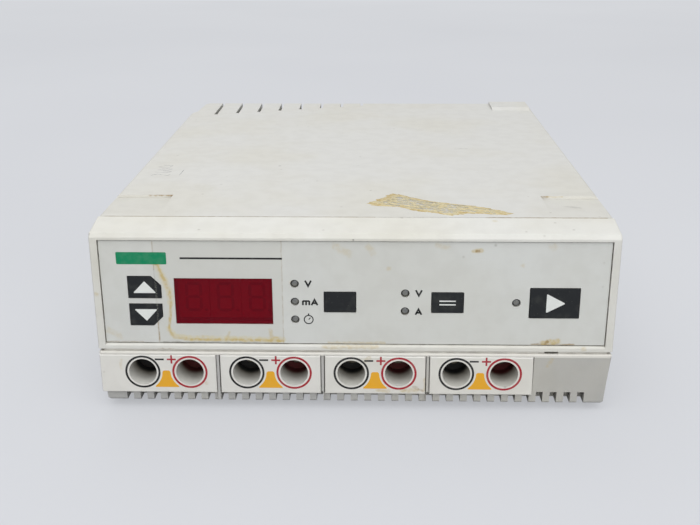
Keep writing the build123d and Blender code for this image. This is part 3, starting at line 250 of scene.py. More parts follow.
class Group(Graph):
    """A shader node group while it is built.

    Attributes:
        given: Its inputs by name.
        result: Its output node.
    """

    def __init__(self, name: str, inputs: tuple[str, ...], outputs: tuple[str, ...]) -> None:
        """Makes the group with its sockets, whose types follow from their names.

        Args:
            name: Name of the group.
            inputs, outputs: Names of its sockets.
        """
        super().__init__(bpy.data.node_groups.new(name, "ShaderNodeTree"))
        for way, labels in (("INPUT", inputs), ("OUTPUT", outputs)):
            for label in labels:
                kind = self.kind(label).value
                self.tree.interface.new_socket(name=label, in_out=way, socket_type=kind)
        self.given = dict(zip(inputs, self.add("NodeGroupInput").outputs))
        self.result = self.add("NodeGroupOutput")

    @staticmethod
    def kind(label: str) -> Kind:
        """Tells the type of a socket by its name.

        Args:
            label: Name of the socket.

        Returns:
            Its type.
        """
        if label in PLACES:
            return Kind.PLACE
        return Kind.COLOUR if label in COLOURS else Kind.NUMBER

    def close(self, **results: Socket) -> bpy.types.NodeTree:
        """Links the results.

        Args:
            results: What each output gives, by name.

        Returns:
            The finished node tree.
        """
        for label, value in results.items():
            self.feed(self.result.inputs[label], value)
        return self.tree


class Effects:
    """Node groups that several finishes share, each built once."""

    def __init__(self) -> None:
        """Builds every group."""
        self.grain = self.build_grain()
        self.mottle = self.build_mottle()
        self.grime_and_shade = self.build_grime_and_shade()
        self.streak = self.build_streak()
        self.specks = self.build_specks()
        self.edges = self.build_edges()
        self.brushing = self.build_brushing()

    @staticmethod
    def build_grain() -> bpy.types.NodeTree:
        """Builds the relief of a moulded skin: fine noise with small rounded cells on it.

        Returns:
            The group.
        """
        group = Group("Moulded grain", ("Vector", "Size"), ("Height",))
        place, size = group.given.values()
        small = group.scaled(place, group.math("DIVIDE", 0.7, size))
        cells = group.add("ShaderNodeTexVoronoi", {"Vector": small, "Scale": 1.0}, feature="SMOOTH_F1")
        pits = group.times(cells.outputs["Distance"], 0.5)
        return group.close(Height=group.math("MULTIPLY_ADD", group.noise(place, size, 3.0), 0.6, pits))

    @staticmethod
    def build_mottle() -> bpy.types.NodeTree:
        """Builds a cloudy change of a colour towards a tint.

        Returns:
            The group.
        """
        group = Group("Mottle", ("Vector", "Colour", "Tint", "Size", "Amount"), ("Colour", "Mask"))
        place, tone, tint, size, amount = group.given.values()
        mask = group.times(group.between(group.noise(place, size, 4.0), 0.36, 0.68), amount)
        return group.close(Colour=group.mix(mask, tone, tint), Mask=mask)

    @staticmethod
    def build_grime_and_shade() -> bpy.types.NodeTree:
        """Builds dirt and painted shade in corners and gaps: where nearby faces shade a point, broken up
        by noise.

        Returns:
            The group.
        """
        group = Group("Grime and painted shade", ("Vector", "Colour", "Dirt", "Reach", "Amount"), ("Colour", "Mask"))
        place, tone, dirt_and_shade, reach, amount = group.given.values()
        # Where nearby faces shade a point the colour darkens: painted shade, mixed with dirt.
        shade = group.add("ShaderNodeAmbientOcclusion", {"Distance": group.times(reach, MM)}, samples=6)
        closed = group.between(shade.outputs["AO"], 0.85, 0.3)
        broken = group.between(group.noise(place, 5.0, 3.0), 0.3, 0.7, 0.25, 1.0)
        mask = group.math("MULTIPLY!", group.times(closed, broken), amount)
        return group.close(Colour=group.mix(mask, tone, dirt_and_shade), Mask=mask)

    @staticmethod
    def build_streak() -> bpy.types.NodeTree:
        """Builds a stain along a line: how near a place, bent by noise, lies to the line.

        The nearest point of the line is its start plus the share of its length that the dot product
        gives, held between 0 and 1. The distance to it is counted in widths. The mask falls off with
        it, and the rim is greatest just inside the stain's edge.

        Returns:
            The group.
        """
        group = Group("Streak", ("Vector", "Start", "End", "Width", "Ragged"), ("Mask", "Rim"))
        place, start, end, width, ragged = group.given.values()
        bend = {"Vector": group.scaled(place, 0.45), "Scale": 1.0, "Detail": 3.0}
        bent = group.add("ShaderNodeTexNoise", bend).outputs[1]
        centred = group.vector("SUBTRACT", bent, (0.5, 0.5, 0.5))
        place = group.vector("ADD", place, group.scaled(centred, ragged))
        along = group.vector("SUBTRACT", end, start)
        from_start = group.vector("SUBTRACT", place, start)
        square = group.math("MAXIMUM", group.vector("DOT_PRODUCT", along, along), 1e-4)
        share = group.math("DIVIDE!", group.vector("DOT_PRODUCT", from_start, along), square)
        gap = group.vector("SUBTRACT", from_start, group.scaled(along, share))
        distance = group.math("DIVIDE", group.vector("LENGTH", gap), width)
        mask = group.between(distance, 1.0, 0.25)
        return group.close(Mask=mask, Rim=group.between(group.apart(distance, 0.72), 0.26, 0.0))

    @staticmethod
    def build_specks() -> bpy.types.NodeTree:
        """Builds scattered dots: round cells, of which a share shows, each smaller than its cell.

        Returns:
            The group.
        """
        group = Group("Specks", ("Vector", "Spacing", "Size", "Share"), ("Mask",))
        place, spacing, size, share = group.given.values()
        small = group.scaled(place, group.math("DIVIDE", 1.0, spacing))
        cells = group.add("ShaderNodeTexVoronoi", {"Vector": small, "Scale": 1.0})
        dot = group.between(cells.outputs["Distance"], group.math("DIVIDE", size, spacing), 0.0)
        shown = group.math("LESS_THAN", group.axes(cells.outputs["Color"])[0], share)
        return group.close(Mask=group.times(dot, shown))

    @staticmethod
    def build_edges() -> bpy.types.NodeTree:
        """Builds rub and painted highlight along a box's edges: the middle one of the three distances to
        its faces is small.

        Returns:
            The group.
        """
        group = Group("Edge rub", ("Vector", "Low", "High", "Width"), ("Mask",))
        place, low, high, width = group.given.values()
        above = group.vector("SUBTRACT", place, low)
        below = group.vector("SUBTRACT", high, place)
        x, y, z = group.axes(group.vector("MINIMUM", above, below))
        lesser = group.math("MINIMUM", x, y)
        middle = group.math("MAXIMUM", lesser, group.math("MINIMUM", group.math("MAXIMUM", x, y), z))
        broken = group.between(group.noise(place, 3.0, 3.0), 0.35, 0.65, 0.3, 1.0)
        return group.close(Mask=group.times(group.between(middle, width, 0.0), broken))

    @staticmethod
    def build_brushing() -> bpy.types.NodeTree:
        """Builds fine parallel lines: noise drawn out along the direction in which Stretch is small.

        Returns:
            The group.
        """
        group = Group("Brushing", ("Vector", "Stretch"), ("Height",))
        drawn = group.vector("MULTIPLY", *group.given.values())
        lines = group.add("ShaderNodeTexNoise", {"Vector": drawn, "Scale": 1.0, "Detail": 3.0})
        return group.close(Height=lines.outputs[0])


class Coat(Graph):
    """A material's node tree while a finish draws it, with the shared effects at hand.

    Attributes:
        effects: Shared node groups.
        place: Object coordinates in millimetres.
    """

    def __init__(self, tree: bpy.types.NodeTree, effects: Effects) -> None:
        """Keeps the effects and reads the place.

        Args:
            tree: Node tree of the material.
            effects: Shared node groups.
        """
        super().__init__(tree)
        self.effects = effects
        self.place = self.places()

    def use(self, effect: bpy.types.NodeTree, **inputs: object) -> bpy.types.Node:
        """Places an effect, which looks at the place on the piece unless told otherwise.

        Args:
            effect: The node group.
            inputs: Values or sockets by name.

        Returns:
            The group's node.
        """
        node = self.add("ShaderNodeGroup", node_tree=effect)
        for name, value in {"Vector": self.place, **inputs}.items():
            self.feed(node.inputs[name], value)
        return node

    def clouded(self, tone: object, tint: Rgba, size: float, amount: float) -> tuple[Socket, Socket]:
        """A colour with clouds of a tint on it, and the clouds' mask."""
        node = self.use(self.effects.mottle, Colour=tone, Tint=tint, Size=size, Amount=amount)
        return tuple(node.outputs)

    def dirtied_and_shaded(self, tone: Socket, dirt_and_shade: Rgba, reach: float, amount: float) -> Socket:
        """A colour with dirt and painted shade in its corners and gaps."""
        node = self.use(self.effects.grime_and_shade, Colour=tone, Dirt=dirt_and_shade, Reach=reach, Amount=amount)
        return node.outputs[0]

    def specks(self, spacing: float, size: float, share: float) -> Socket:
        """Mask of scattered dots."""
        return self.use(self.effects.specks, Spacing=spacing, Size=size, Share=share).outputs[0]

    def grain(self, size: float) -> Socket:
        """Height of a moulded skin."""
        return self.use(self.effects.grain, Size=size).outputs[0]

    def brushed(self, stretch: Point, **inputs: Socket) -> Socket:
        """Height of fine parallel lines."""
        return self.use(self.effects.brushing, Stretch=stretch, **inputs).outputs[0]

    def bump(self, height: Socket, depth: float) -> Socket:
        """Normal of a relief that is this many millimetres deep."""
        inputs = {"Height": height, "Strength": 1.0, "Distance": depth * MM}
        return self.add("ShaderNodeBump", inputs).outputs[0]

    def spread(self, value: object, middle: float, reach: float) -> Socket:
        """Roughness that swings by a reach round a middle as a value goes from 0 to 1."""
        return self.math("MULTIPLY_ADD!", value, 2 * reach, middle - reach)

    def shader(self, inputs: dict) -> Socket:
        """A Principled BSDF with the given inputs."""
        return self.add("ShaderNodeBsdfPrincipled", inputs).outputs[0]


@dataclass(frozen=True)
class Stain:
    """A dirty or dried line on a surface; also used for lines and patches of painted shadow.

    Attributes:
        points: Places along the line, one for a blot.
        width: Half the stain's width.
        tint: Colour it turns the surface to.
        strength: Share of that colour at its middle.
        ragged: How far noise bends it.
        rim: Share of the colour that gathers at its rim.
    """

    points: tuple[Point, ...]
    width: float
    tint: Rgba
    strength: float = 0.5
    ragged: float = 2.0
    rim: float = 0.0

    def mask(self, coat: Coat) -> Socket:
        """Draws the whole line: the greatest mask of its stretches, broken up by noise.

        Args:
            coat: Material that the stain is on.

        Returns:
            Socket that is 0 off the stain.
        """
        total: object = None
        for start, end in zip(self.points, self.points[1:] or self.points):
            inputs = {"Start": start, "End": end, "Width": self.width, "Ragged": self.ragged}
            node = coat.use(coat.effects.streak, **inputs)
            body = coat.times(node.outputs["Mask"], 1.0 - self.rim)
            part = coat.math("MULTIPLY_ADD", node.outputs["Rim"], self.rim, body)
            total = part if total is None else coat.math("MAXIMUM", total, part)
        cloud = coat.between(coat.noise(coat.place, 1.6, 3.0), 0.3, 0.62, 0.35, 1.0)
        return coat.math("MULTIPLY!", coat.times(total, self.strength), cloud)


def on_front(y: float, *points: Flat) -> tuple[Point, ...]:
    """Places on a face that looks forwards, from their X and Z."""
    return tuple((x, y, z) for x, z in points)


def on_top(z: float, *points: Flat) -> tuple[Point, ...]:
    """Places on a face that looks up, from their X and Y."""
    return tuple((x, y, z) for x, y in points)


@dataclass(frozen=True)
class Finish:
    """A surface finish. Each kind of finish draws its own pattern.

    Attributes:
        name: Name of the material.
        base: Main colour.
        roughness: Roughness of the clean surface.
    """

    name: str
    base: Rgba
    roughness: float

    def material(self, effects: Effects) -> bpy.types.Material:
        """Makes the material.

        Args:
            effects: Shared node groups.

        Returns:
            The new material.
        """
        made = bpy.data.materials.new(self.name)
        made.use_nodes = True
        made.node_tree.nodes.clear()
        coat = Coat(made.node_tree, effects)
        coat.add("ShaderNodeOutputMaterial", {"Surface": self.draw(coat)})
        return made

    def draw(self, coat: Coat) -> Socket:
        """Adds the nodes of the finish and returns the shader."""
        raise NotImplementedError


@dataclass(frozen=True)
class MouldedPlastic(Finish):
    """Old injection-moulded plastic: grained, clouded, with dirt and painted shade in its corners, and
    edges paler from rub and painted highlight.

    Attributes:
        aged: Colour that wide clouds turn it towards.
        yellowing: Share of that colour.
        cloud_size, touch_size: Sizes of the wide clouds and of the traces of hands.
        touch: Share of dirt in the traces of hands.
        dirt_and_shade: Colour of traces and specks, and of the dirt and painted shade in corners.
        grime_and_shade, grime_and_shade_reach: Share of dirt and painted shade in corners, and how far it
            reaches out of them.
        grain_size, grain_depth: Size and depth of the skin's relief.
        speck_spacing, speck_size: Distance between possible specks, and their reach.
        speck_share: Share of the possible specks that show.
        rub_and_highlight, rub_and_highlight_width: How much paler and how wide the edges of the box from
        low to high are, worn and with painted highlight.
        low, high: Corners of that box.
        sheen: Specular level.
        stains: Stains on it, and lines of painted shadow.
    """

    aged: Rgba = colour(202, 198, 180)
    yellowing: float = 0.35
    cloud_size: float = 55.0
    touch_size: float = 7.0
    touch: float = 0.05
    dirt_and_shade: Rgba = colour(96, 84, 62)
    grime_and_shade: float = 0.5
    grime_and_shade_reach: float = 2.5
    grain_size: float = 0.45
    grain_depth: float = 0.05
    speck_spacing: float = 6.0
    speck_size: float = 0.9
    speck_share: float = 0.12
    rub_and_highlight: float = 0.0
    rub_and_highlight_width: float = 1.6
    low: Point = (0.0, 0.0, 0.0)
    high: Point = (1.0, 1.0, 1.0)
    sheen: float = 0.5
    stains: tuple[Stain, ...] = ()

    def paint(self, coat: Coat, tone: Socket) -> Socket:
        """Further colour of one kind of moulding. Plain plastic has none."""
        return tone

    def worn(self, coat: Coat, tone: Socket) -> Socket:
        """Makes the edges paler, as wear and painted highlight.

        Args:
            coat: The material's graph.
            tone: Colour so far.

        Returns:
            The colour with worn edges.
        """
        inputs = {"Low": self.low, "High": self.high, "Width": self.rub_and_highlight_width}
        edge = coat.use(coat.effects.edges, **inputs).outputs[0]
        pale = tuple(min(1.0, part * 1.12) for part in self.base[:3]) + (1.0,)
        return coat.mix(coat.times(edge, self.rub_and_highlight), tone, pale)

    def draw(self, coat: Coat) -> Socket:
        """Layers clouds, specks, edges paler from rub and painted highlight, stains, and dirt and painted
        shade over the colour.

        Args:
            coat: The material's graph.

        Returns:
            The shader.
        """
        clouded, _ = coat.clouded(self.base, self.aged, self.cloud_size, self.yellowing)
        tone, traces = coat.clouded(clouded, self.dirt_and_shade, self.touch_size, self.touch)
        specks = coat.specks(self.speck_spacing, self.speck_size, self.speck_share)
        tone = coat.mix(coat.times(specks, 0.35), tone, self.dirt_and_shade)
        # Paler edges: wear, and a painted highlight where they catch the light.
        if self.rub_and_highlight > 0:
            tone = self.worn(coat, tone)
        tone = self.paint(coat, tone)
        for stain in self.stains:
            tone = coat.mix(stain.mask(coat), tone, stain.tint)
        grain = coat.grain(self.grain_size)
        uneven = coat.math("ADD", traces, coat.times(grain, 0.5))
        return coat.shader(
            {
                # Dirt and painted shade in corners and gaps.
                "Base Color": coat.dirtied_and_shaded(tone, self.dirt_and_shade, self.grime_and_shade_reach, self.grime_and_shade),
                "Roughness": coat.spread(uneven, self.roughness, 0.08),
                "Specular IOR Level": self.sheen,
                "Normal": coat.bump(grain, self.grain_depth),
            }
        )


@dataclass(frozen=True)
class BasePlastic(MouldedPlastic):
    """Plastic of the base, paler on the upward-facing ledge over the jack blocks as painted light.

    Attributes:
        ledge_z: Height of the ledge's lower edge.
        ledge: Colour of the ledge, paler as painted light.
    """

    ledge_z: float = 0.0
    ledge: Rgba = colour(216, 214, 206)

    def paint(self, coat: Coat, tone: Socket) -> Socket:
        """Paints light on the ledge, which faces up, by making it paler."""
        # Painted light: the upward-facing ledge is made paler.
        over = coat.between(coat.axes(coat.place)[2], self.ledge_z - 0.2, self.ledge_z + 0.1)
        return coat.mix(over, tone, self.ledge)


@dataclass(frozen=True)
class SocketPlastic(MouldedPlastic):
    """Smooth plastic of the jack blocks, whose wells end in dark insulators, with painted shade deeper in
    the wells and a painted highlight on the upper edge.

    Attributes:
        top_z: Height of the blocks' upper edge.
        floor_y: Depth at which a well's floor begins.
        first_middle: X of the first block's middle.
        pitch: Distance from block to block.
        top_edge_highlight: Colour of the painted highlight on the upper edge.
        minus_end_and_shade, plus_end_and_shade: Colours of the wells' ends, which also paint the shade on
            the walls just before them.
    """

    top_z: float = 0.0
    floor_y: float = 0.0
    first_middle: float = 0.0
    pitch: float = 42.0
    top_edge_highlight: Rgba = colour(250, 249, 243)
    minus_end_and_shade: Rgba = colour(22, 21, 20)
    plus_end_and_shade: Rgba = colour(74, 8, 10)

    def paint(self, coat: Coat, tone: Socket) -> Socket:
        """Darkens each well with painted shade that grows with depth, and colours its end: dark red on
        the plus side, else black.

        The end's colour starts a little way up the walls as painted shade, and the blocks' upper edge
        gets a painted highlight. The plus side is where the count of blocks from the first one's middle
        is less than half a block past a whole number.

        Args:
            coat: The material's graph.
            tone: Colour so far.

        Returns:
            The colour of the blocks.
        """
        x, y, z = coat.axes(coat.place)
        # Painted highlight along the blocks' upper edge.
        tone = coat.mix(coat.between(z, self.top_z - 0.9, self.top_z - 0.3), tone, self.top_edge_highlight)
        # Painted shade, darker deeper into each well.
        depth = coat.between(y, self.floor_y - 13.0, self.floor_y - 3.0)
        tone = coat.mix(coat.times(depth, 0.7), tone, self.dirt_and_shade)
        count = coat.math("DIVIDE", coat.math("SUBTRACT", x, self.first_middle), self.pitch)
        share = coat.math("FRACT", coat.math("ADD", count, 0.5))
        well_end_and_shade = coat.mix(coat.math("GREATER_THAN", share, 0.5), self.minus_end_and_shade, self.plus_end_and_shade)
        # Each well's end gets its dark colour, which begins on the walls before it as painted shade.
        return coat.mix(coat.between(y, self.floor_y - 6.5, self.floor_y - 2.5), tone, well_end_and_shade)


@dataclass(frozen=True)
class PrintedFilm(MouldedPlastic):
    """Overlay film: cool grey, finely lined, with the trace of a strip of tape that once lay on it.

    Attributes:
        tape_left, tape_right: X of the tape's two edges.
        tape_tint: Colour under the tape.
    """

    tape_left: float = 0.0
    tape_right: float = 1.0
    tape_tint: Rgba = colour(194, 194, 186)

    def paint(self, coat: Coat, tone: Socket) -> Socket:
        """Lines the film finely and dulls it between the tape's wavy edges.

        Args:
            coat: The material's graph.
            tone: Colour so far.

        Returns:
            The colour of the film.
        """
        wavy = coat.math("MULTIPLY_ADD", coat.noise(coat.place, 9.0), 0.6, coat.axes(coat.place)[0])
        right_of_left = coat.between(wavy, self.tape_left - 0.1, self.tape_left + 0.3)
        left_of_right = coat.between(wavy, self.tape_right + 0.5, self.tape_right + 0.1)
        lines = coat.between(coat.brushed((0.25, 1.0, 5.0)), 0.35, 0.75)
        tone = coat.mix(coat.times(lines, 0.1), tone, self.aged)
        return coat.mix(coat.times(coat.times(right_of_left, left_of_right), 0.4), tone, self.tape_tint)


@dataclass(frozen=True)
class KeyPlastic(MouldedPlastic):
    """Near-black keycap with pale dust, thickest where the edge of the old tape crossed it.

    Attributes:
        dust: Colour of the dust.
        dusty_x: X of the dusty line.
    """

    dust: Rgba = colour(120, 122, 112)
    dusty_x: float = 0.0

    def paint(self, coat: Coat, tone: Socket) -> Socket:
        """Adds dust specks, a faint haze and the dusty line.

        Args:
            coat: The material's graph.
            tone: Colour so far.

        Returns:
            The colour of the key.
        """
        haze = coat.between(coat.noise(coat.place, 4.0, 4.0), 0.45, 0.8, 0.0, 0.1)
        total = coat.math("MAXIMUM", coat.times(coat.specks(1.1, 0.22, 0.25), 0.35), haze)
        off_line = coat.apart(coat.axes(coat.place)[0], self.dusty_x)
        crumbs = coat.between(coat.noise(coat.place, 0.5, 2.0), 0.45, 0.6)
        line = coat.times(coat.between(off_line, 0.6, 0.1), crumbs)
        return coat.mix(coat.math("MAXIMUM", total, coat.times(line, 0.6)), tone, self.dust)


@dataclass(frozen=True)
class RedWindow(Finish):
    """Dark red plastic that shows what lies behind it.

    Attributes:
        filtered: Colour of the light that passes.
        haze, dust: Colours of its clouds and of the dust on it.
        opaque: Share of the surface that hides what is behind.
        sheen: Specular level.
    """

    filtered: Rgba = (0.9, 0.03, 0.13, 1.0)
    haze: Rgba = colour(134, 20, 38)
    dust: Rgba = colour(150, 110, 110)
    opaque: float = 0.5
    sheen: float = 0.22

    def draw(self, coat: Coat) -> Socket:
        """Mixes a glossy red surface with red clear plastic.

        Args:
            coat: The material's graph.

        Returns:
            The shader.
        """
        tone, mask = coat.clouded(self.base, self.haze, 14.0, 0.12)
        tone = coat.mix(coat.times(coat.specks(2.6, 0.3, 0.2), 0.3), tone, self.dust)
        rough = coat.spread(mask, self.roughness + 0.04, 0.06)
        skin = coat.shader({"Base Color": tone, "Roughness": rough, "Specular IOR Level": self.sheen})
        clear = coat.add("ShaderNodeBsdfTransparent", {"Color": self.filtered}).outputs[0]
        return coat.add("ShaderNodeMixShader", {0: self.opaque, 1: clear, 2: skin}).outputs[0]


@dataclass(frozen=True)
class DigitPlastic(Finish):
    """Face of a seven-segment module: a grey front, with darker segments sunk into it.

    Attributes:
        face_y: Depth of the module's front face.
        segment: Colour of the segments.
    """

    face_y: float = 0.0
    segment: Rgba = colour(120, 116, 116)

    def draw(self, coat: Coat) -> Socket:
        """Paints what lies just behind the front face as segments.

        Args:
            coat: The material's graph.

        Returns:
            The shader.
        """
        sunk = coat.between(coat.axes(coat.place)[1], self.face_y + 0.05, self.face_y + 0.2)
        tone, _ = coat.clouded(self.base, self.segment, 5.0, 0.15)
        grain = coat.grain(0.2)
        return coat.shader(
            {
                "Base Color": coat.mix(sunk, tone, self.segment),
                "Roughness": coat.spread(grain, self.roughness, 0.1),
                "Normal": coat.bump(grain, 0.01),
            }
        )


@dataclass(frozen=True)
class LampLens(Finish):
    """Smoky resin of an unlit lamp, paler and rougher where dust has settled.

    Attributes:
        dust: Colour of the dust.
        rim: Colour of the dirt and painted shade round the lens.
    """

    dust: Rgba = colour(128, 126, 118)
    rim: Rgba = colour(34, 32, 28)

    def draw(self, coat: Coat) -> Socket:
        """Clouds the resin, lets its shine vary, and darkens its edge with dirt and painted shade.

        Args:
            coat: The material's graph.

        Returns:
            The shader.
        """
        tone, mask = coat.clouded(self.base, self.dust, 1.4, 0.5)
        rough = coat.spread(mask, self.roughness, 0.12)
        # Dirt and painted shade round the lens.
        return coat.shader({"Base Color": coat.dirtied_and_shaded(tone, self.rim, 0.8, 0.8), "Roughness": rough})


@dataclass(frozen=True)
class CircuitBoard(Finish):
    """Green board: square-cornered tracks under the mask, and tinned pads.

    Attributes:
        cell: Size of the track pattern's cells.
        track: Colour of the tracks.
        tin: Colour of the pads.
    """

    cell: float = 6.0
    track: Rgba = colour(58, 128, 70)
    tin: Rgba = colour(196, 192, 178)

    def draw(self, coat: Coat) -> Socket:
        """Draws tracks where two square-metric cells meet, and pads at cell centres.

        Args:
            coat: The material's graph.

        Returns:
            The shader.
        """
        cells = {"Vector": coat.scaled(coat.place, 1 / self.cell), "Scale": 1.0, "Randomness": 0.75}
        nodes = [
            coat.add("ShaderNodeTexVoronoi", cells, distance="CHEBYCHEV", feature=feature)
            for feature in ("F1", "F2")
        ]
        nearest, second = (node.outputs["Distance"] for node in nodes)
        track = coat.between(coat.math("SUBTRACT", second, nearest), 0.09, 0.05)
        pads = coat.between(nearest, 0.16, 0.13)
        tone = coat.mix(coat.times(track, 0.7), self.base, self.track)
        return coat.shader(
            {
                "Base Color": coat.mix(pads, tone, self.tin),
                "Roughness": coat.spread(coat.noise(coat.place, 1.2, 3.0), self.roughness, 0.08),
                "Metallic": pads,
                "Normal": coat.bump(coat.math("MAXIMUM", track, pads), 0.05),
            }
        )


@dataclass(frozen=True)
class Metal(Finish):
    """Worked metal: drawn lines, a cloudy skin and dull spots.

    Attributes:
        stretch: How closely the drawn lines stand along each axis.
        dull: Colour of the dull spots.
        dulling: Share of that colour.
        relief: Depth of the lines.
    """

    stretch: Point = (4.0, 4.0, 0.3)
    dull: Rgba = colour(120, 116, 106)
    dulling: float = 0.4
    relief: float = 0.01

    def draw(self, coat: Coat) -> Socket:
        """Layers lines and dull clouds.

        Args:
            coat: The material's graph.

        Returns:
            The shader.
        """
        lines = coat.brushed(self.stretch)
        tone, mask = coat.clouded(self.base, self.dull, 6.0, self.dulling)
        uneven = coat.math("MULTIPLY_ADD", mask, 0.6, coat.times(lines, 0.5))
        return coat.shader(
            {
                "Base Color": tone,
                "Metallic": 1.0,
                "Roughness": coat.spread(uneven, self.roughness, 0.12),
                "Normal": coat.bump(lines, self.relief),
            }
        )


@dataclass(frozen=True)
class Banded(Finish):
    """Layers or turns that show as even bands along one axis.

    Attributes:
        axis: Axis that the bands follow one another along, 0 for X.
        pitch: Width of a band.
        gap: Colour between two bands.
        metal: Metallic value of the bands.
        depth: How far each band stands out.
    """

    axis: int = 0
    pitch: float = 1.0
    gap: Rgba = (0.0, 0.0, 0.0, 1.0)
    metal: float = 0.0
    depth: float = 0.05

    def draw(self, coat: Coat) -> Socket:
        """Draws a dark line where the place along the axis passes a whole number of bands.

        Args:
            coat: The material's graph.

        Returns:
            The shader.
        """
        share = coat.math("FRACT", coat.math("DIVIDE", coat.axes(coat.place)[self.axis], self.pitch))
        off_middle = coat.apart(share, 0.5)
        tone, mask = coat.clouded(self.base, self.gap, 8.0, 0.3)
        line = coat.times(coat.between(off_middle, 0.36, 0.5), 0.8)
        return coat.shader(
            {
                "Base Color": coat.mix(line, tone, self.gap),
                "Metallic": self.metal,
                "Roughness": coat.spread(mask, self.roughness, 0.1),
                "Normal": coat.bump(coat.between(off_middle, 0.5, 0.1), self.depth),
            }
        )


@dataclass(frozen=True)
class Split(Finish):
    """Two finishes of one piece, told apart by the distance from a middle along an axis.

    Attributes:
        other: Colour of the far parts.
        worn: Colour of its worn places.
        axis: Axis along which the parts differ.
        middle: Place on that axis that distances are taken from.
        start, end: Distances between which one colour gives way to the other.
        shine: Metallic value of the far parts.
    """

    other: Rgba = (1.0, 1.0, 1.0, 1.0)
    worn: Rgba = colour(90, 88, 84)
    axis: int = 2
    middle: float = 0.0
    start: float = 0.0
    end: float = 1.0
    shine: float = 1.0

    def draw(self, coat: Coat) -> Socket:
        """Chooses a colour by the distance and clouds it.

        Args:
            coat: The material's graph.

        Returns:
            The shader.
        """
        distance = coat.apart(coat.axes(coat.place)[self.axis], self.middle)
        far = coat.between(distance, self.start, self.end)
        tone, _ = coat.clouded(coat.mix(far, self.base, self.other), self.worn, 5.0, 0.15)
        lines = coat.brushed((1.0, 1.0, 6.0))
        return coat.shader(
            {
                "Base Color": tone,
                "Metallic": coat.times(far, self.shine),
                "Roughness": coat.spread(lines, self.roughness, 0.1),
                "Normal": coat.bump(lines, 0.01),
            }
        )


@dataclass(frozen=True)
class WireSleeve(Finish):
    """Sleeves of the two mains wires: blue on the outer route, brown on the inner one.

    Attributes:
        other: Colour of the outer wire.
        worn: Colour of their dull places.
        divide_x, divide_y: The outer wire lies right of the first or in front of the second.
    """

    other: Rgba = (0.0, 0.0, 1.0, 1.0)
    worn: Rgba = colour(60, 60, 60)
    divide_x: float = 0.0
    divide_y: float = 0.0

    def draw(self, coat: Coat) -> Socket:
        """Picks the wire's colour by its route and clouds it.

        Args:
            coat: The material's graph.

        Returns:
            The shader.
        """
        x, y, _ = coat.axes(coat.place)
        right = coat.math("GREATER_THAN", x, self.divide_x)
        outer = coat.math("MAXIMUM", right, coat.math("LESS_THAN", y, self.divide_y))
        tone, mask = coat.clouded(coat.mix(outer, self.base, self.other), self.worn, 3.0, 0.25)
        return coat.shader({"Base Color": tone, "Roughness": coat.spread(mask, self.roughness, 0.1)})


@dataclass(frozen=True)
class Ink(Finish):
    """Printed ink, a little uneven and worn through in places.

    Attributes:
        ground: Colour of what it is printed on.
        wear: Share of the ground that shows through.
        sheen: Specular level.
    """

    ground: Rgba = colour(205, 205, 198)
    wear: float = 0.15
    sheen: float = 0.3

    def draw(self, coat: Coat) -> Socket:
        """Thins the ink in small clouds and dots.

        Args:
            coat: The material's graph.

        Returns:
            The shader.
        """
        thin, mask = coat.clouded(self.base, self.ground, 2.5, self.wear)
        pinholes = coat.times(coat.specks(0.8, 0.2, 0.12), self.wear)
        tone = coat.mix(pinholes, thin, self.ground)
        rough = coat.spread(mask, self.roughness, 0.1)
        return coat.shader({"Base Color": tone, "Roughness": rough, "Specular IOR Level": self.sheen})


@dataclass(frozen=True)
class DriedGlue(Finish):
    """Old adhesive: straw-coloured, brown and thick at its rim, worn through in streaks.

    Attributes:
        thick: Colour where it is thick.
        angle: Direction of the streaks, in radians from X.
        stretch: How closely the streaks stand along and across that direction, and in height.
    """

    thick: Rgba = colour(186, 160, 96)
    angle: float = -0.45
    stretch: Point = (0.16, 0.75, 1.0)

    def draw(self, coat: Coat) -> Socket:
        """Draws streaks along the patch, and opens it where they are thin.

        Args:
            coat: The material's graph.

        Returns:
            The shader.
        """
        turn = {"Vector": coat.place, "Rotation": (0.0, 0.0, -self.angle)}
        streaks = coat.brushed(self.stretch, Vector=coat.add("ShaderNodeMapping", turn).outputs[0])
        crumbs = coat.noise(coat.place, 1.3, 4.0)
        reach = coat.add("ShaderNodeAttribute", attribute_name="reach").outputs["Fac"]
        amount = coat.math("ADD", coat.times(streaks, 0.9), coat.times(crumbs, 0.6))
        amount = coat.math("MULTIPLY_ADD", coat.between(reach, 0.72, 0.97), 0.22, amount)
        return coat.shader(
            {
                "Base Color": coat.mix(coat.between(amount, 0.72, 1.12), self.base, self.thick),
                "Roughness": coat.spread(crumbs, self.roughness, 0.15),
                "Alpha": coat.between(amount, 0.6, 0.8, 0.0, 0.85),
                "Normal": coat.bump(crumbs, 0.2),
            }
        )


COMPONENT_BLACK = MouldedPlastic(
    "Component black",
    colour(30, 30, 32),
    0.5,
    aged=colour(48, 48, 50),
    dirt_and_shade=colour(90, 88, 84),
    grain_size=0.3,
    grain_depth=0.02,
)


@dataclass(frozen=True)
class Face:
    """A flat face of the object that marks lie on.

    Attributes:
        origin: A point of the face.
        across, up: Unit directions along it. Across times up points out of the object.
    """

    origin: Point
    across: Point = (1.0, 0.0, 0.0)
    up: Point = (0.0, 0.0, 1.0)

    def lift(self, flat: np.ndarray) -> np.ndarray:
        """Puts points on the face.

        Args:
            flat: Rows of across, up and height above the face.

        Returns:
            Rows of X, Y and Z: origin plus across, up and outward parts.
        """
        axes = np.array([self.across, self.up, np.cross(self.across, self.up)])
        return np.array(self.origin) + flat @ axes


@dataclass(frozen=True)
class Film:
    """Thickness of a thin mark.

    Attributes:
        proud: How far it stands out of its face.
        sunk: How far it is let in.
    """

    proud: float = 0.03
    sunk: float = 0.02

    def section(self) -> np.ndarray:
        """Heights of the four corners of a line's section."""
        return np.array([self.proud, self.proud, -self.sunk, -self.sunk])


INK_FILM = Film()


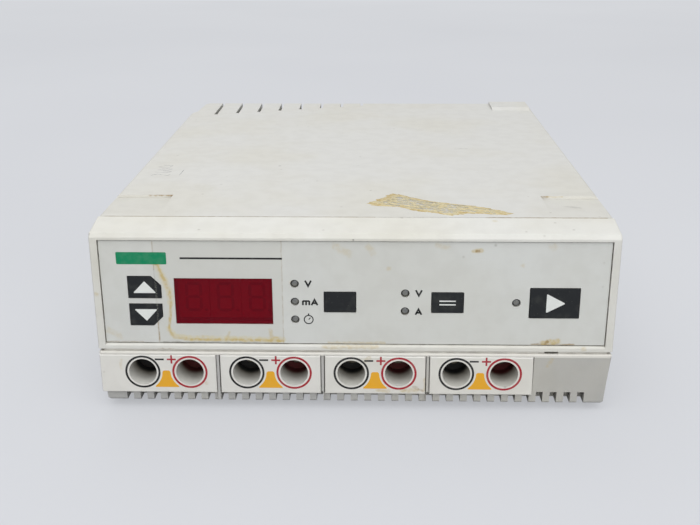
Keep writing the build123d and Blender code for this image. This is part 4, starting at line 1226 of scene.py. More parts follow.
def grid(rows: int, columns: int, close_rows: bool = False) -> np.ndarray:
    """Quads of a grid whose columns join round.

    Args:
        rows: Number of rows.
        columns: Number of points in each row.
        close_rows: Whether the last row joins the first.

    Returns:
        Four point numbers for each quad.
    """
    row = np.arange(rows if close_rows else rows - 1)[:, None]
    column = np.arange(columns)[None, :]
    near, far = row * columns, (row + 1) % rows * columns
    beside = (column + 1) % columns
    quads = [near + column, far + column, far + beside, near + beside]
    return np.stack(np.broadcast_arrays(*quads), axis=-1).reshape(-1, 4)


def unit(vectors: np.ndarray) -> np.ndarray:
    """Rows of vectors, each of length 1."""
    return vectors / np.linalg.norm(vectors, axis=1, keepdims=True)


def rounded(corners: np.ndarray, radius: float, steps: int = 7) -> np.ndarray:
    """Outline of a convex polygon with rounded corners.

    Each corner is an arc whose centre lies on the corner's bisector, at the radius over the sine of
    half its angle.

    Args:
        corners: Corners, anticlockwise.
        radius: Radius of the arcs.
        steps: Points on each arc.

    Returns:
        Points of the outline, anticlockwise.
    """
    before = unit(np.roll(corners, 1, axis=0) - corners)
    after = unit(np.roll(corners, -1, axis=0) - corners)
    half = np.arccos(np.sum(before * after, axis=1)) / 2
    centre = corners + unit(before + after) * (radius / np.sin(half))[:, None]
    tangent = corners + before * (radius / np.tan(half))[:, None]
    first = np.arctan2(tangent[:, 1] - centre[:, 1], tangent[:, 0] - centre[:, 0])
    turn = first[:, None] + (np.pi - 2 * half)[:, None] * np.linspace(0, 1, steps)[None, :]
    arc = np.stack([np.cos(turn), np.sin(turn)], axis=-1) * radius
    return (centre[:, None, :] + arc).reshape(-1, 2)


def raised(flat: np.ndarray, heights: np.ndarray) -> np.ndarray:
    """Adds to rows of flat points the height of their row, and lists all points."""
    tall = np.broadcast_to(heights, flat.shape[:2])[..., None]
    return np.concatenate([flat, tall], axis=-1).reshape(-1, 3)


def pad(outline: np.ndarray, film: Film = INK_FILM) -> Shell:
    """Thin plate inside an outline.

    A point is the middle plus a share of the way to the outline, for shares from 0 to 1, at the
    front height, and then back to 0 at the rear height.

    Args:
        outline: Points round a middle, anticlockwise.
        film: Heights of the front and the rear.

    Returns:
        Points as across, up and height, and quads.
    """
    middle = outline.mean(axis=0)
    shares = np.array([0.0, 0.5, 0.96, 1.0, 1.0, 0.0])
    heights = np.array([1.0, 1.0, 1.0, 0.6, 0.0, 0.0]) * (film.proud + film.sunk) - film.sunk
    flat = middle + shares[:, None, None] * (outline - middle)
    return raised(flat, heights[:, None]), grid(len(shares), len(outline))


def ring(middle: Flat, outer: float, width: float, turns: int = 96) -> Shell:
    """Flat ring: a small rectangle carried round a circle.

    Args:
        middle: Middle of the ring.
        outer: Outer radius.
        width: Width of its line.
        turns: Points round the circle.

    Returns:
        Points as across, up and height, and quads.
    """
    angle = np.linspace(0, 2 * np.pi, turns, endpoint=False)[:, None]
    radius = np.array([outer - width, outer, outer, outer - width])[None, :]
    flat = np.stack([radius * np.cos(angle), radius * np.sin(angle)], axis=-1) + middle
    return raised(flat, INK_FILM.section()), grid(turns, 4, close_rows=True)


def stroke(path: list[Flat], width: float, film: Film = INK_FILM) -> Shell:
    """Line of even width: a small rectangle carried along a path, mitred where it turns.

    At each point the side direction is square to the mean of the two runs' directions, and longer
    by one over the cosine of half the turn.

    Args:
        path: Points of the line.
        width: Width of the line.
        film: Heights of the front and the rear.

    Returns:
        Points as across, up and height, and quads.
    """
    line = np.array(path, float)
    runs = unit(np.diff(line, axis=0))
    into = np.vstack([runs[:1], runs])
    mean = unit(into + np.vstack([runs, runs[-1:]]))
    mitre = 1 / np.maximum(np.sum(mean * into, axis=1, keepdims=True), 0.4)
    side = np.stack([-mean[:, 1], mean[:, 0]], axis=1) * mitre * width / 2
    flat = np.stack([line + side, line - side, line - side, line + side], axis=1)
    last = 4 * (len(line) - 1)
    ends = np.array([[3, 2, 1, 0], [last, last + 1, last + 2, last + 3]])
    return raised(flat, film.section()), np.vstack([grid(len(line), 4), ends])


def shift(shell: Shell, x: float, z: float) -> Shell:
    """Moves a shell along its face."""
    return shell[0] + [x, z, 0.0], shell[1]


def join(*shells: Shell) -> Shell:
    """Puts several shells into one.

    Args:
        shells: Points and quads of each.

    Returns:
        All points, and all quads with their point numbers moved on.
    """
    starts = np.cumsum([0] + [len(points) for points, _ in shells])
    points = np.vstack([points for points, _ in shells])
    return points, np.vstack([quads + start for (_, quads), start in zip(shells, starts)])


def write_piece(name: str, shell: Shell, **values: np.ndarray) -> bpy.types.Object:
    """Makes a mesh object, closes its poles and turns its faces out.

    Args:
        name: Name of the piece.
        shell: Points in millimetres, and quads.
        values: Numbers for each point, by the attribute's name.

    Returns:
        The new object, at the origin.
    """
    points, quads = shell
    mesh = bpy.data.meshes.new(name)
    mesh.from_pydata((points * MM).tolist(), [], quads.tolist())
    for label, numbers in values.items():
        mesh.attributes.new(label, "FLOAT", "POINT").data.foreach_set("value", numbers)
    shape = bmesh.new()
    shape.from_mesh(mesh)
    bmesh.ops.remove_doubles(shape, verts=shape.verts, dist=1e-7)
    bmesh.ops.recalc_face_normals(shape, faces=shape.faces)
    shape.to_mesh(mesh)
    shape.free()
    piece = bpy.data.objects.new(name, mesh)
    bpy.context.scene.collection.objects.link(piece)
    return piece


class Extent:
    """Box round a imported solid, in millimetres.

    Attributes:
        low, high: Its lowest and highest corner.
        middle: Its middle.
    """

    def __init__(self, node: str) -> None:
        """Reads the solid's box.

        Args:
            node: Name of the solid.
        """
        self.low, self.high = (tuple(float(part) / MM for part in corner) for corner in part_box(node))
        self.middle = tuple((low + high) / 2 for low, high in zip(self.low, self.high))


class Workshop:
    """What every sub-assembly needs: the frame, the effects, and a way to add and dress pieces.

    Attributes:
        frame: What the frame's load returned.
        effects: Shared node groups.
        made: Materials by the name of their finish.
    """

    def __init__(self, frame: dict) -> None:
        """Keeps the frame and builds the shared effects.

        Args:
            frame: What the frame's load returned.
        """
        self.frame = frame
        self.effects = Effects()
        self.made: dict[str, bpy.types.Material] = {}

    def finish(self, look: Finish) -> bpy.types.Material:
        """Gives a finish's material, made when it is first asked for.

        Args:
            look: The finish.

        Returns:
            The material.
        """
        if look.name not in self.made:
            self.made[look.name] = look.material(self.effects)
        return self.made[look.name]

    def dress(self, look: Finish, *nodes: str) -> None:
        """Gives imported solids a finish.

        Args:
            look: The finish.
            nodes: Names of the solids.
        """
        for node in nodes:
            mesh = self.frame["nodes"][node].data
            mesh.materials.clear()
            mesh.materials.append(self.finish(look))
            log.info("%s: %s", node, look.name)

    def add(
        self,
        name: str,
        shell: Shell,
        face: Face,
        look: Finish,
        slot: str,
        body: str = HOUSING,
        **values: np.ndarray,
    ) -> None:
        """Adds a mark on a face.

        Args:
            name: Name of the piece.
            shell: Points and quads on the face.
            face: The face.
            look: Its finish.
            slot: Material slot of the record; not used.
            body: Body that it moves with.
            values: Numbers for each point, by the attribute's name.
        """
        points, quads = shell
        piece = write_piece(name, (face.lift(points), quads), **values)
        piece.data.materials.append(self.finish(look))
        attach(piece, body)
        log.info("%s: %d faces, on %s", name, len(piece.data.polygons), body)


@dataclass
class Housing:
    """Cover, base, bezel, rear panel, feet and screws, with the dried adhesive and pencil strokes.

    Attributes:
        shop: Where its pieces are dressed and added.
        front_y: Y of the bezel's front.
        step_y: Y of the stacking steps' front.
        groove_gap: Distance from the cover's front edge to the middle of the groove before it.
        residue: Outline of the adhesive on the cover, X and Y.
        residue_middle: Place that the outline is drawn round.
        residue_height, residue_depth: How far it stands out, at most, and how far it is let in.
        residue_turns, residue_rings: Points round it and from its middle to its rim.
        residue_waves: Share, count and phase of each small wave round its rim.
        residue_edge: Share of the way to its rim over which it thins out.
        pencil: Pencil strokes on the cover, X and Y.
        pencil_width: Width of the strokes.
    """

    shop: Workshop
    front_y: float = -130.0
    step_y: float = -83.8
    groove_gap: float = 0.3
    residue: tuple[Flat, ...] = (
        (5.6, -95.7),
        (10.4, -87.5),
        (14.7, -81.0),
        (20.0, -82.9),
        (31.6, -91.5),
        (47.0, -98.0),
        (55.8, -102.9),
        (62.0, -108.4),
        (58.8, -110.9),
        (50.1, -109.3),
        (41.9, -110.8),
        (36.5, -111.6),
        (31.3, -108.2),
        (24.8, -106.1),
        (19.5, -101.2),
        (12.5, -99.4),
    )
    residue_middle: Flat = (27.0, -98.0)
    residue_height: float = 0.3
    residue_depth: float = 0.04
    residue_turns: int = 240
    residue_rings: int = 40
    residue_waves: tuple[Point, ...] = ((0.02, 23.0, 0.0), (0.018, 41.0, 1.3), (0.015, 67.0, 0.0))
    residue_edge: float = 0.12
    pencil: tuple[tuple[Flat, ...], ...] = (
        ((-94.5, -50.5), (-92.0, -48.0), (-87.0, -50.6), (-86.0, -49.0)),
        ((-94.0, -44.3), (-88.0, -45.4), (-86.5, -43.4), (-90.5, -42.0)),
        ((-93.5, -40.0), (-88.5, -41.0), (-87.0, -38.6), (-92.0, -37.0)),
        ((-94.5, -34.5), (-89.0, -35.5), (-88.0, -32.0), (-92.5, -31.0)),
        ((-81.6, -50.0), (-81.2, -40.5)),
    )
    pencil_width: float = 0.28

    def build(self) -> None:
        """Dresses the shells and adds what lies on the cover."""
        self.cover = Extent("top_cover")
        self.bezel = Extent("front_bezel")
        self.top = self.bezel.high[2]
        self.groove = self.cover.low[1] - self.groove_gap
        self.dress_shells()
        self.dress_small_parts()
        self.add_residue()
        self.add_pencil()

    def cover_stains_and_shadow(self) -> tuple[Stain, ...]:
        """Dirt on the cover: in the steps' corners, along the groove, and odd blots, with one patch of
        painted shadow.

        Returns:
            The stains.
        """
        top, groove, step = self.top, self.groove, self.step_y
        scuff = colour(150, 150, 142)
        shadow = colour(196, 194, 182)
        return (
            Stain(on_top(top, (78.4, step), (80.6, step)), 1.0, BROWN, 0.85, 1.2),
            Stain(on_top(top, (80.6, step), (87.0, step)), 0.7, OCHRE, 0.45, 1.4),
            Stain(on_top(top, (-78.4, step), (-88.0, step)), 0.9, BROWN, 0.85, 1.4),
            Stain(on_top(top, (-99.0, groove), (8.0, groove)), 0.6, BROWN, 0.7, 0.3),
            Stain(on_top(top, (52.0, groove), (99.0, groove)), 0.75, BROWN, 0.85, 0.5),
            Stain(on_top(top, (48.5, 4.2), (54.2, 5.2)), 0.8, SOOT, 0.35, 1.0),
            Stain(on_top(top, (-37.2, -32.0)), 1.0, SOOT, 0.4, 1.2),
            Stain(on_top(top, (7.0, 22.0)), 0.8, SOOT, 0.35, 1.0),
            Stain(on_top(top - 0.6, (86.5, -97.0), (91.0, -99.0)), 2.0, scuff, 0.4, 3.0),
            # A patch of painted shadow on the cover.
            Stain(on_top(top, (-69.0, -68.0), (-64.0, -72.0)), 5.0, shadow, 0.5, 5.0),
        )

    def bezel_stains(self) -> tuple[Stain, ...]:
        """Dirt on the bezel: along the groove, on the lip, the left border and the top band.

        Returns:
            The stains.
        """
        top, groove, front = self.top, self.groove, self.front_y
        return (
            Stain(on_top(top, (-99.0, groove), (8.0, groove)), 0.5, BROWN, 0.5, 0.3),
            Stain(on_top(top, (52.0, groove), (99.0, groove)), 0.6, BROWN, 0.7, 0.4),
            Stain(on_top(top, (54.9, -117.9)), 1.6, OCHRE, 0.3, 2.0),
            Stain(on_front(front, (-12.3, 28.0), (9.2, 28.0)), 1.3, OCHRE, 0.42, 2.4),
            Stain(on_front(front, (90.7, 27.8)), 1.6, OCHRE, 0.4, 2.0),
            Stain(on_front(front + 0.2, (-78.2, 26.4), (-71.4, 26.4)), 0.9, BROWN, 0.4, 1.6),
            Stain(on_front(front, (-100.8, 50.0)), 1.4, OCHRE, 0.35, 1.8),
            Stain(on_front(front, (-0.1, 72.8)), 0.55, SOOT, 0.8, 0.3),
        )

    def dress_shells(self) -> None:
        """Gives cover, bezel, base and rear panel their finishes."""
        cover = MouldedPlastic(
            "Cover plastic",
            CREAM,
            0.5,
            rub_and_highlight=0.4,
            grime_and_shade=0.35,
            low=self.cover.low,
            high=self.cover.high,
            stains=self.cover_stains_and_shadow(),
        )
        self.shop.dress(cover, "top_cover")
        bezel = MouldedPlastic(
            "Bezel plastic",
            colour(213, 213, 207),
            0.5,
            rub_and_highlight=0.3,
            sheen=0.3,
            low=self.bezel.low,
            high=self.bezel.high,
            grime_and_shade=0.75,
            grime_and_shade_reach=1.6,
            stains=self.bezel_stains(),
        )
        self.shop.dress(bezel, "front_bezel")
        smear = Stain(on_front(self.front_y + 0.4, (77.2, 20.4), (78.5, 23.5)), 1.1, OCHRE, 0.35, 2.0)
        base = BasePlastic(
            "Base plastic",
            # This grey is darker than the cover's, partly as painted shade of the base's leaning front
            # wall.
            colour(174, 174, 171),
            0.52,
            ledge_z=Extent("jack_block_1").high[2],
            stains=(smear,),
        )
        self.shop.dress(base, "base_shell")
        sheet = MouldedPlastic(
            "Rear panel paint",
            colour(190, 188, 178),
            0.5,
            grain_size=0.9,
            grain_depth=0.09,
            yellowing=0.2,
        )
        self.shop.dress(sheet, "rear_panel")

    def dress_small_parts(self) -> None:
        """Gives feet and screws their finishes."""
        rubber = MouldedPlastic(
            "Foot rubber",
            colour(44, 44, 45),
            0.78,
            aged=colour(84, 82, 78),
            dirt_and_shade=colour(120, 114, 104),
            grain_size=0.7,
            speck_share=0.3,
        )
        self.shop.dress(rubber, *(f"rubber_foot_{number}" for number in range(1, 5)))
        self.shop.dress(Metal("Zinc screws", colour(176, 174, 166), 0.36), "case_screws", "board_screws")

    def cover_face(self) -> Face:
        """The upper face, which looks up."""
        return Face((0.0, 0.0, self.top), up=(0.0, 1.0, 0.0))

    def residue_outline(self) -> np.ndarray:
        """Joins the given corners by a smooth closed curve with small waves on it.

        The curve is the corners' Fourier series, read at more points. The waves are three sines of
        the angle, each a small share of the way from the middle.

        Returns:
            Points round the adhesive.
        """
        corners = np.array(self.residue)
        turns = self.residue_turns
        wave = np.zeros((turns // 2 + 1, 2), complex)
        series = np.fft.rfft(corners, axis=0)
        wave[: len(series)] = series
        smooth = np.fft.irfft(wave, turns, axis=0) * turns / len(corners)
        angle = np.linspace(0, 2 * np.pi, turns, endpoint=False)
        ragged = sum(share * np.sin(count * angle + phase) for share, count, phase in self.residue_waves)
        middle = np.array(self.residue_middle)
        return middle + (smooth - middle) * (1 + ragged)[:, None]

    def add_residue(self) -> None:
        """Adds the dried adhesive.

        A point is the middle plus a share of the way to the outline, for shares from 0 to 1. The
        height is a wavy share of the greatest height and falls to nothing at the rim.
        """
        middle = np.array(self.residue_middle)
        share = np.linspace(0, 1, self.residue_rings)
        flat = middle + share[:, None, None] * (self.residue_outline() - middle)
        x, y = flat[..., 0], flat[..., 1]
        waves = 0.5 + 0.25 * np.sin(1.9 * x + 1.1 * y) + 0.25 * np.sin(2.7 * y - 1.3 * x)
        rim = np.clip((1 - share) / self.residue_edge, 0, 1)[:, None]
        height = self.residue_height * rim * (0.25 + 0.75 * waves)
        heights = np.concatenate([height, np.full_like(x, -self.residue_depth)])
        points = raised(np.concatenate([flat, flat[::-1]]), heights)
        quads = grid(2 * self.residue_rings, self.residue_turns)
        reach = np.repeat(np.concatenate([share, share[::-1]]), self.residue_turns)
        glue = DriedGlue("Dried adhesive", colour(218, 206, 164), 0.55)
        face = self.cover_face()
        self.shop.add("adhesive_residue", (points, quads), face, glue, "cover_plastic", reach=reach)

    def add_pencil(self) -> None:
        """Adds plain pencil strokes on the cover."""
        thin = Film(0.012, 0.01)
        lines = join(*(stroke(list(path), self.pencil_width, thin) for path in self.pencil))
        graphite = Ink("Pencil", colour(96, 98, 104), 0.5, ground=CREAM, wear=0.7)
        self.shop.add("pencil_strokes", lines, self.cover_face(), graphite, "cover_plastic")


class Sign(Enum):
    """Signs that are printed beside the lamps."""

    VOLTS = "volts"
    AMPERES = "amperes"
    MILLI = "thousandth"
    CLOCK = "clock"


@dataclass
class ControlPanel:
    """Overlay, keys, display, lamps and their board, with the printed marks.

    Attributes:
        shop: Where its pieces are dressed and added.
        tape_left, tape_right: Edges of the tape's trace.
        bar_left, bar_right, bar_low, bar_high: Sides of the green bar.
        bar_radius: Radius of its corners.
        rule_left, rule_right, rule_z, rule_line: Ends, height and width of the thin rule.
        letter_height, letter_width, letter_line: Size of the unit letters, and width of their lines.
        milli_width: Width of the small letter, from stem to stem.
        mark_offset: Distance from a lamp's middle to the middle of its mark.
        first_offset, second_offset: The same for the two letters of the milliamperes.
        clock_radius, clock_line: Outer radius of the clock, and width of its ring.
        hand, hand_line: Tip of the clock's hand from its middle, and width of the hand.
        stem, stem_line: Heights of the two ends of the clock's stem, and width of the stem.
        arrow, arrow_radius: Corners of the upward arrow, and their radius.
        triangle, triangle_radius: The same for the run key's triangle.
        hold_length, hold_line: Length and width of the hold key's two bars.
        hold_spacing: Distance between the middles of these bars.
        keys, lamps: Names of the solids.
        ink, key_ink: Print on the overlay and on the keys.
    """

    shop: Workshop
    tape_left: float = -77.8
    tape_right: float = -27.9
    bar_left: float = -92.3
    bar_right: float = -72.65
    bar_low: float = 62.2
    bar_high: float = 67.2
    bar_radius: float = 0.5
    rule_left: float = -67.4
    rule_right: float = -27.7
    rule_z: float = 64.8
    rule_line: float = 0.75
    letter_height: float = 2.8
    letter_width: float = 2.35
    milli_width: float = 2.5
    letter_line: float = 0.7
    mark_offset: float = 5.3
    first_offset: float = 4.4
    second_offset: float = 7.7
    clock_radius: float = 1.95
    clock_line: float = 0.42
    hand: Flat = (0.75, 0.85)
    hand_line: float = 0.36
    stem: Flat = (1.9, 2.6)
    stem_line: float = 0.5
    arrow: tuple[Flat, ...] = ((-4.6, -2.37), (4.6, -2.37), (0.1, 2.57))
    arrow_radius: float = 0.25
    triangle: tuple[Flat, ...] = ((-3.2, -4.0), (4.2, 0.0), (-3.2, 4.0))
    triangle_radius: float = 0.3
    hold_length: float = 6.4
    hold_spacing: float = 1.5
    hold_line: float = 0.5
    keys: tuple[str, ...] = ("up_key", "down_key", "mode_key", "hold_key", "run_key")
    lamps: tuple[str, ...] = (
        "volts_lamp",
        "milliamps_lamp",
        "timer_lamp",
        "constant_volts_lamp",
        "constant_amps_lamp",
        "run_lamp",
    )
    ink: Ink = Ink("Black ink", colour(18, 19, 21), 0.42, wear=0.04)
    key_ink: Ink = Ink("Key white", colour(222, 225, 221), 0.5, ground=colour(90, 92, 94), wear=0.06)

    def build(self) -> None:
        """Dresses the panel and adds its print."""
        self.dress_overlay()
        self.dress_keys()
        self.dress_display()
        self.add_accent()
        self.add_units()
        self.add_key_marks()

    def face(self, node: str) -> Face:
        """Front face of a solid."""
        return Face((0.0, Extent(node).low[1], 0.0))

    def overlay_stains_and_shadow(self) -> tuple[Stain, ...]:
        """Dirt on the overlay: the dried flow round the display, the tape's edges, and blots, with a line
        of painted shadow along its top edge under the bezel's brow.

        Returns:
            The stains.
        """
        overlay = Extent("panel_overlay")
        y, low = overlay.low[1], overlay.low[2]
        left, right = self.tape_left, self.tape_right
        shadow = colour(48, 46, 42)
        fall = ((-77.8, 63.2), (-76.4, 62.0), (-74.4, 56.6), (-72.4, 51.6), (-71.9, 46.1))
        pool = ((-73.4, 34.6), (-71.6, 31.5), (-65.3, 30.6), (-49.3, 30.5), (-28.2, 30.2))
        upper_pool = tuple((x, z + 0.5) for x, z in pool)
        return (
            Stain(on_front(y, *fall), 1.7, STRAW, 0.7, 1.4, rim=0.15),
            Stain(on_front(y, *upper_pool), 1.6, STRAW, 0.75, 1.6, rim=0.15),
            Stain(on_front(y, *fall, *pool), 0.85, OCHRE, 0.8, 1.0),
            Stain(on_front(y, (-78.2, 64.6), (-77.0, 62.4)), 0.9, BROWN, 0.6, 1.2),
            # Painted shadow of the bezel's brow along the overlay's top edge.
            Stain(on_front(y, (-98.7, 72.1), (98.7, 72.1)), 0.32, shadow, 0.95, 0.0),
            Stain(on_front(y, (left, 72.0), (left, 60.0)), 0.4, BROWN, 0.4, 0.4),
            Stain(on_front(y, (left, 60.0), (left + 0.3, 38.0)), 0.3, SOOT, 0.16, 0.4),
            Stain(on_front(y, (left + 0.3, 38.0), (left + 0.4, low)), 0.45, BROWN, 0.7, 0.5),
            Stain(on_front(y, (right, 72.0), (right, low)), 0.35, BROWN, 0.3, 0.5),
            Stain(on_front(y, (-50.0, 31.8), (-49.6, 33.6)), 0.9, OCHRE, 0.45, 1.2),
            Stain(on_front(y, (-60.4, 31.2)), 1.2, OCHRE, 0.4, 1.4),
            Stain(on_front(y, (-33.2, 34.9), (-32.4, 31.4), (-28.6, 30.6)), 1.1, OCHRE, 0.55, 1.6),
            Stain(on_front(y, (-97.5, 34.4), (-93.3, 31.8)), 1.8, OCHRE, 0.25, 2.5),
            Stain(on_front(y, (-98.4, low), (-84.0, low)), 0.8, BROWN, 0.35, 1.0),
            Stain(on_front(y, (-77.0, 29.4), (-30.0, 29.3)), 0.6, SOOT, 0.4, 0.8),
            Stain(on_front(y, (70.5, low), (86.5, low)), 1.0, BROWN, 0.7, 1.2),
            Stain(on_front(y, (74.6, 30.0), (78.4, 30.4), (80.6, 31.0)), 1.7, OCHRE, 0.75, 2.6),
            Stain(on_front(y, (75.6, 29.6), (76.2, 30.6)), 0.9, BROWN, 0.8, 1.8),
            Stain(on_front(y, (46.2, 68.2), (48.9, 68.5)), 1.2, OCHRE, 0.6, 1.4),
            Stain(on_front(y, (47.0, 68.2), (48.0, 68.3)), 0.7, BROWN, 0.75, 0.9),
            Stain(on_front(y, (32.0, 70.4), (36.0, 69.8)), 1.6, OCHRE, 0.25, 2.4),
            Stain(on_front(y, (-7.0, 70.0), (-2.0, 67.0)), 2.2, OCHRE, 0.25, 3.0),
            Stain(on_front(y, (7.4, 67.7), (5.5, 69.7)), 2.0, OCHRE, 0.3, 3.0),
            Stain(on_front(y, (13.4, 61.0)), 1.3, OCHRE, 0.35, 1.8),
            Stain(on_front(y, (65.1, 62.4)), 1.2, OCHRE, 0.3, 1.8),
            Stain(on_front(y, (76.1, 70.1)), 2.4, OCHRE, 0.22, 3.0),
            Stain(on_front(y, (-24.5, 55.0)), 1.4, OCHRE, 0.3, 2.0),
            Stain(on_front(y, (-10.0, 29.6), (12.0, 29.6)), 0.9, OCHRE, 0.4, 1.4),
        )

    def dress_overlay(self) -> None:
        """Gives the overlay its printed film."""
        film = PrintedFilm(
            "Overlay film",
            colour(206, 208, 204),
            0.36,
            aged=colour(196, 195, 184),
            yellowing=0.3,
            grain_size=0.3,
            grain_depth=0.015,
            speck_share=0.06,
            grime_and_shade=0.7,
            grime_and_shade_reach=0.9,
            tape_left=self.tape_left,
            tape_right=self.tape_right,
            stains=self.overlay_stains_and_shadow(),
        )
        self.shop.dress(film, "panel_overlay")

    def dress_keys(self) -> None:
        """Gives the keys and their switches black plastic."""
        key = KeyPlastic(
            "Key plastic",
            colour(19, 22, 25),
            0.55,
            sheen=0.26,
            aged=colour(25, 28, 30),
            dirt_and_shade=colour(12, 12, 12),
            grain_size=0.35,
            grain_depth=0.03,
            speck_share=0.0,
            dusty_x=self.tape_left + 0.4,
        )
        self.shop.dress(key, *self.keys)
        self.shop.dress(COMPONENT_BLACK, "key_switches")

    def dress_display(self) -> None:
        """Gives window, digits, lamps and their board their finishes."""
        self.shop.dress(RedWindow("Red window", colour(120, 0, 26), 0.16), "display_window")
        face_y = Extent("digit_1").low[1]
        digit = DigitPlastic("Digit face", colour(214, 210, 208), 0.55, face_y=face_y)
        self.shop.dress(digit, "digit_1", "digit_2", "digit_3")
        self.shop.dress(LampLens("Lamp resin", colour(104, 106, 106), 0.3), *self.lamps)
        self.shop.dress(CircuitBoard("Board green", colour(24, 84, 46), 0.4), "display_board")

    def print_mark(self, name: str, shell: Shell, look: Ink | None = None) -> None:
        """Prints a mark on the overlay."""
        self.shop.add(name, shell, self.face("panel_overlay"), look or self.ink, "overlay_film")

    def add_accent(self) -> None:
        """Adds the plain green bar and the thin rule."""
        across = [self.bar_left, self.bar_right, self.bar_right, self.bar_left]
        upward = [self.bar_low, self.bar_low, self.bar_high, self.bar_high]
        corners = np.stack([across, upward], axis=1)
        green = Ink("Green ink", colour(0, 126, 84), 0.45, wear=0.04)
        self.print_mark("accent_bar", pad(rounded(corners, self.bar_radius)), green)
        ends = [(self.rule_left, self.rule_z), (self.rule_right, self.rule_z)]
        self.print_mark("name_rule", stroke(ends, self.rule_line))

    def sign(self, sign: Sign, x: float, z: float) -> Shell:
        """A unit letter or the clock, made of strokes.

        Args:
            sign: Which one.
            x, z: Its middle.

        Returns:
            Its strokes.
        """
        if sign is Sign.CLOCK:
            return join(
                ring((x, z), self.clock_radius, self.clock_line, turns=48),
                stroke([(x, z), (x + self.hand[0], z + self.hand[1])], self.hand_line),
                stroke([(x, z + self.stem[0]), (x, z + self.stem[1])], self.stem_line),
            )
        side, top, line = self.letter_width / 2, self.letter_height / 2, self.letter_line
        tip = top - 0.7 * line
        if sign is Sign.VOLTS:
            return shift(stroke([(-side, top), (0, -tip), (side, top)], line), x, z)
        if sign is Sign.AMPERES:
            legs = stroke([(-side, -top), (0, tip), (side, -top)], line)
            bar = stroke([(-side * 0.6, -top * 0.4), (side * 0.6, -top * 0.4)], line)
            return shift(join(legs, bar), x, z)
        side, waist = self.milli_width / 2, top * 0.32
        stems = [stroke([(stem, -top), (stem, waist)], line) for stem in (-side, 0.0, side)]
        bow = stroke([(-side, waist * 0.75), (side, waist * 0.75)], line)
        return shift(join(*stems, bow), x, z)

    def add_units(self) -> None:
        """Adds the signs of volts, milliamperes, time and amperes beside their lamps."""
        single = self.mark_offset
        milliamps = ((Sign.MILLI, self.first_offset), (Sign.AMPERES, self.second_offset))
        marks = (
            ("volts_mark", "volts_lamp", ((Sign.VOLTS, single),)),
            ("milliamps_mark", "milliamps_lamp", milliamps),
            ("clock_mark", "timer_lamp", ((Sign.CLOCK, single),)),
            ("constant_volts_mark", "constant_volts_lamp", ((Sign.VOLTS, single),)),
            ("constant_amps_mark", "constant_amps_lamp", ((Sign.AMPERES, single),)),
        )
        for name, lamp, signs in marks:
            x, _, z = Extent(lamp).middle
            self.print_mark(name, join(*(self.sign(sign, x + offset, z) for sign, offset in signs)))

    def add_key_marks(self) -> None:
        """Adds arrows on the two arrow keys and plain symbols on the hold and run keys."""
        rise, run = np.array(self.arrow), np.array(self.triangle)
        half, level = self.hold_length / 2, self.hold_spacing / 2
        marks = {
            "up_key": pad(rounded(rise, self.arrow_radius)),
            "down_key": pad(rounded(rise[::-1] * [1, -1], self.arrow_radius)),
            "hold_key": join(*(stroke([(-half, z), (half, z)], self.hold_line) for z in (-level, level))),
            "run_key": pad(rounded(run, self.triangle_radius)),
        }
        for key, mark in marks.items():
            x, _, z = Extent(key).middle
            shell = shift(mark, x, z)
            self.shop.add(f"{key}_mark", shell, self.face(key), self.key_ink, "key_plastic", key)


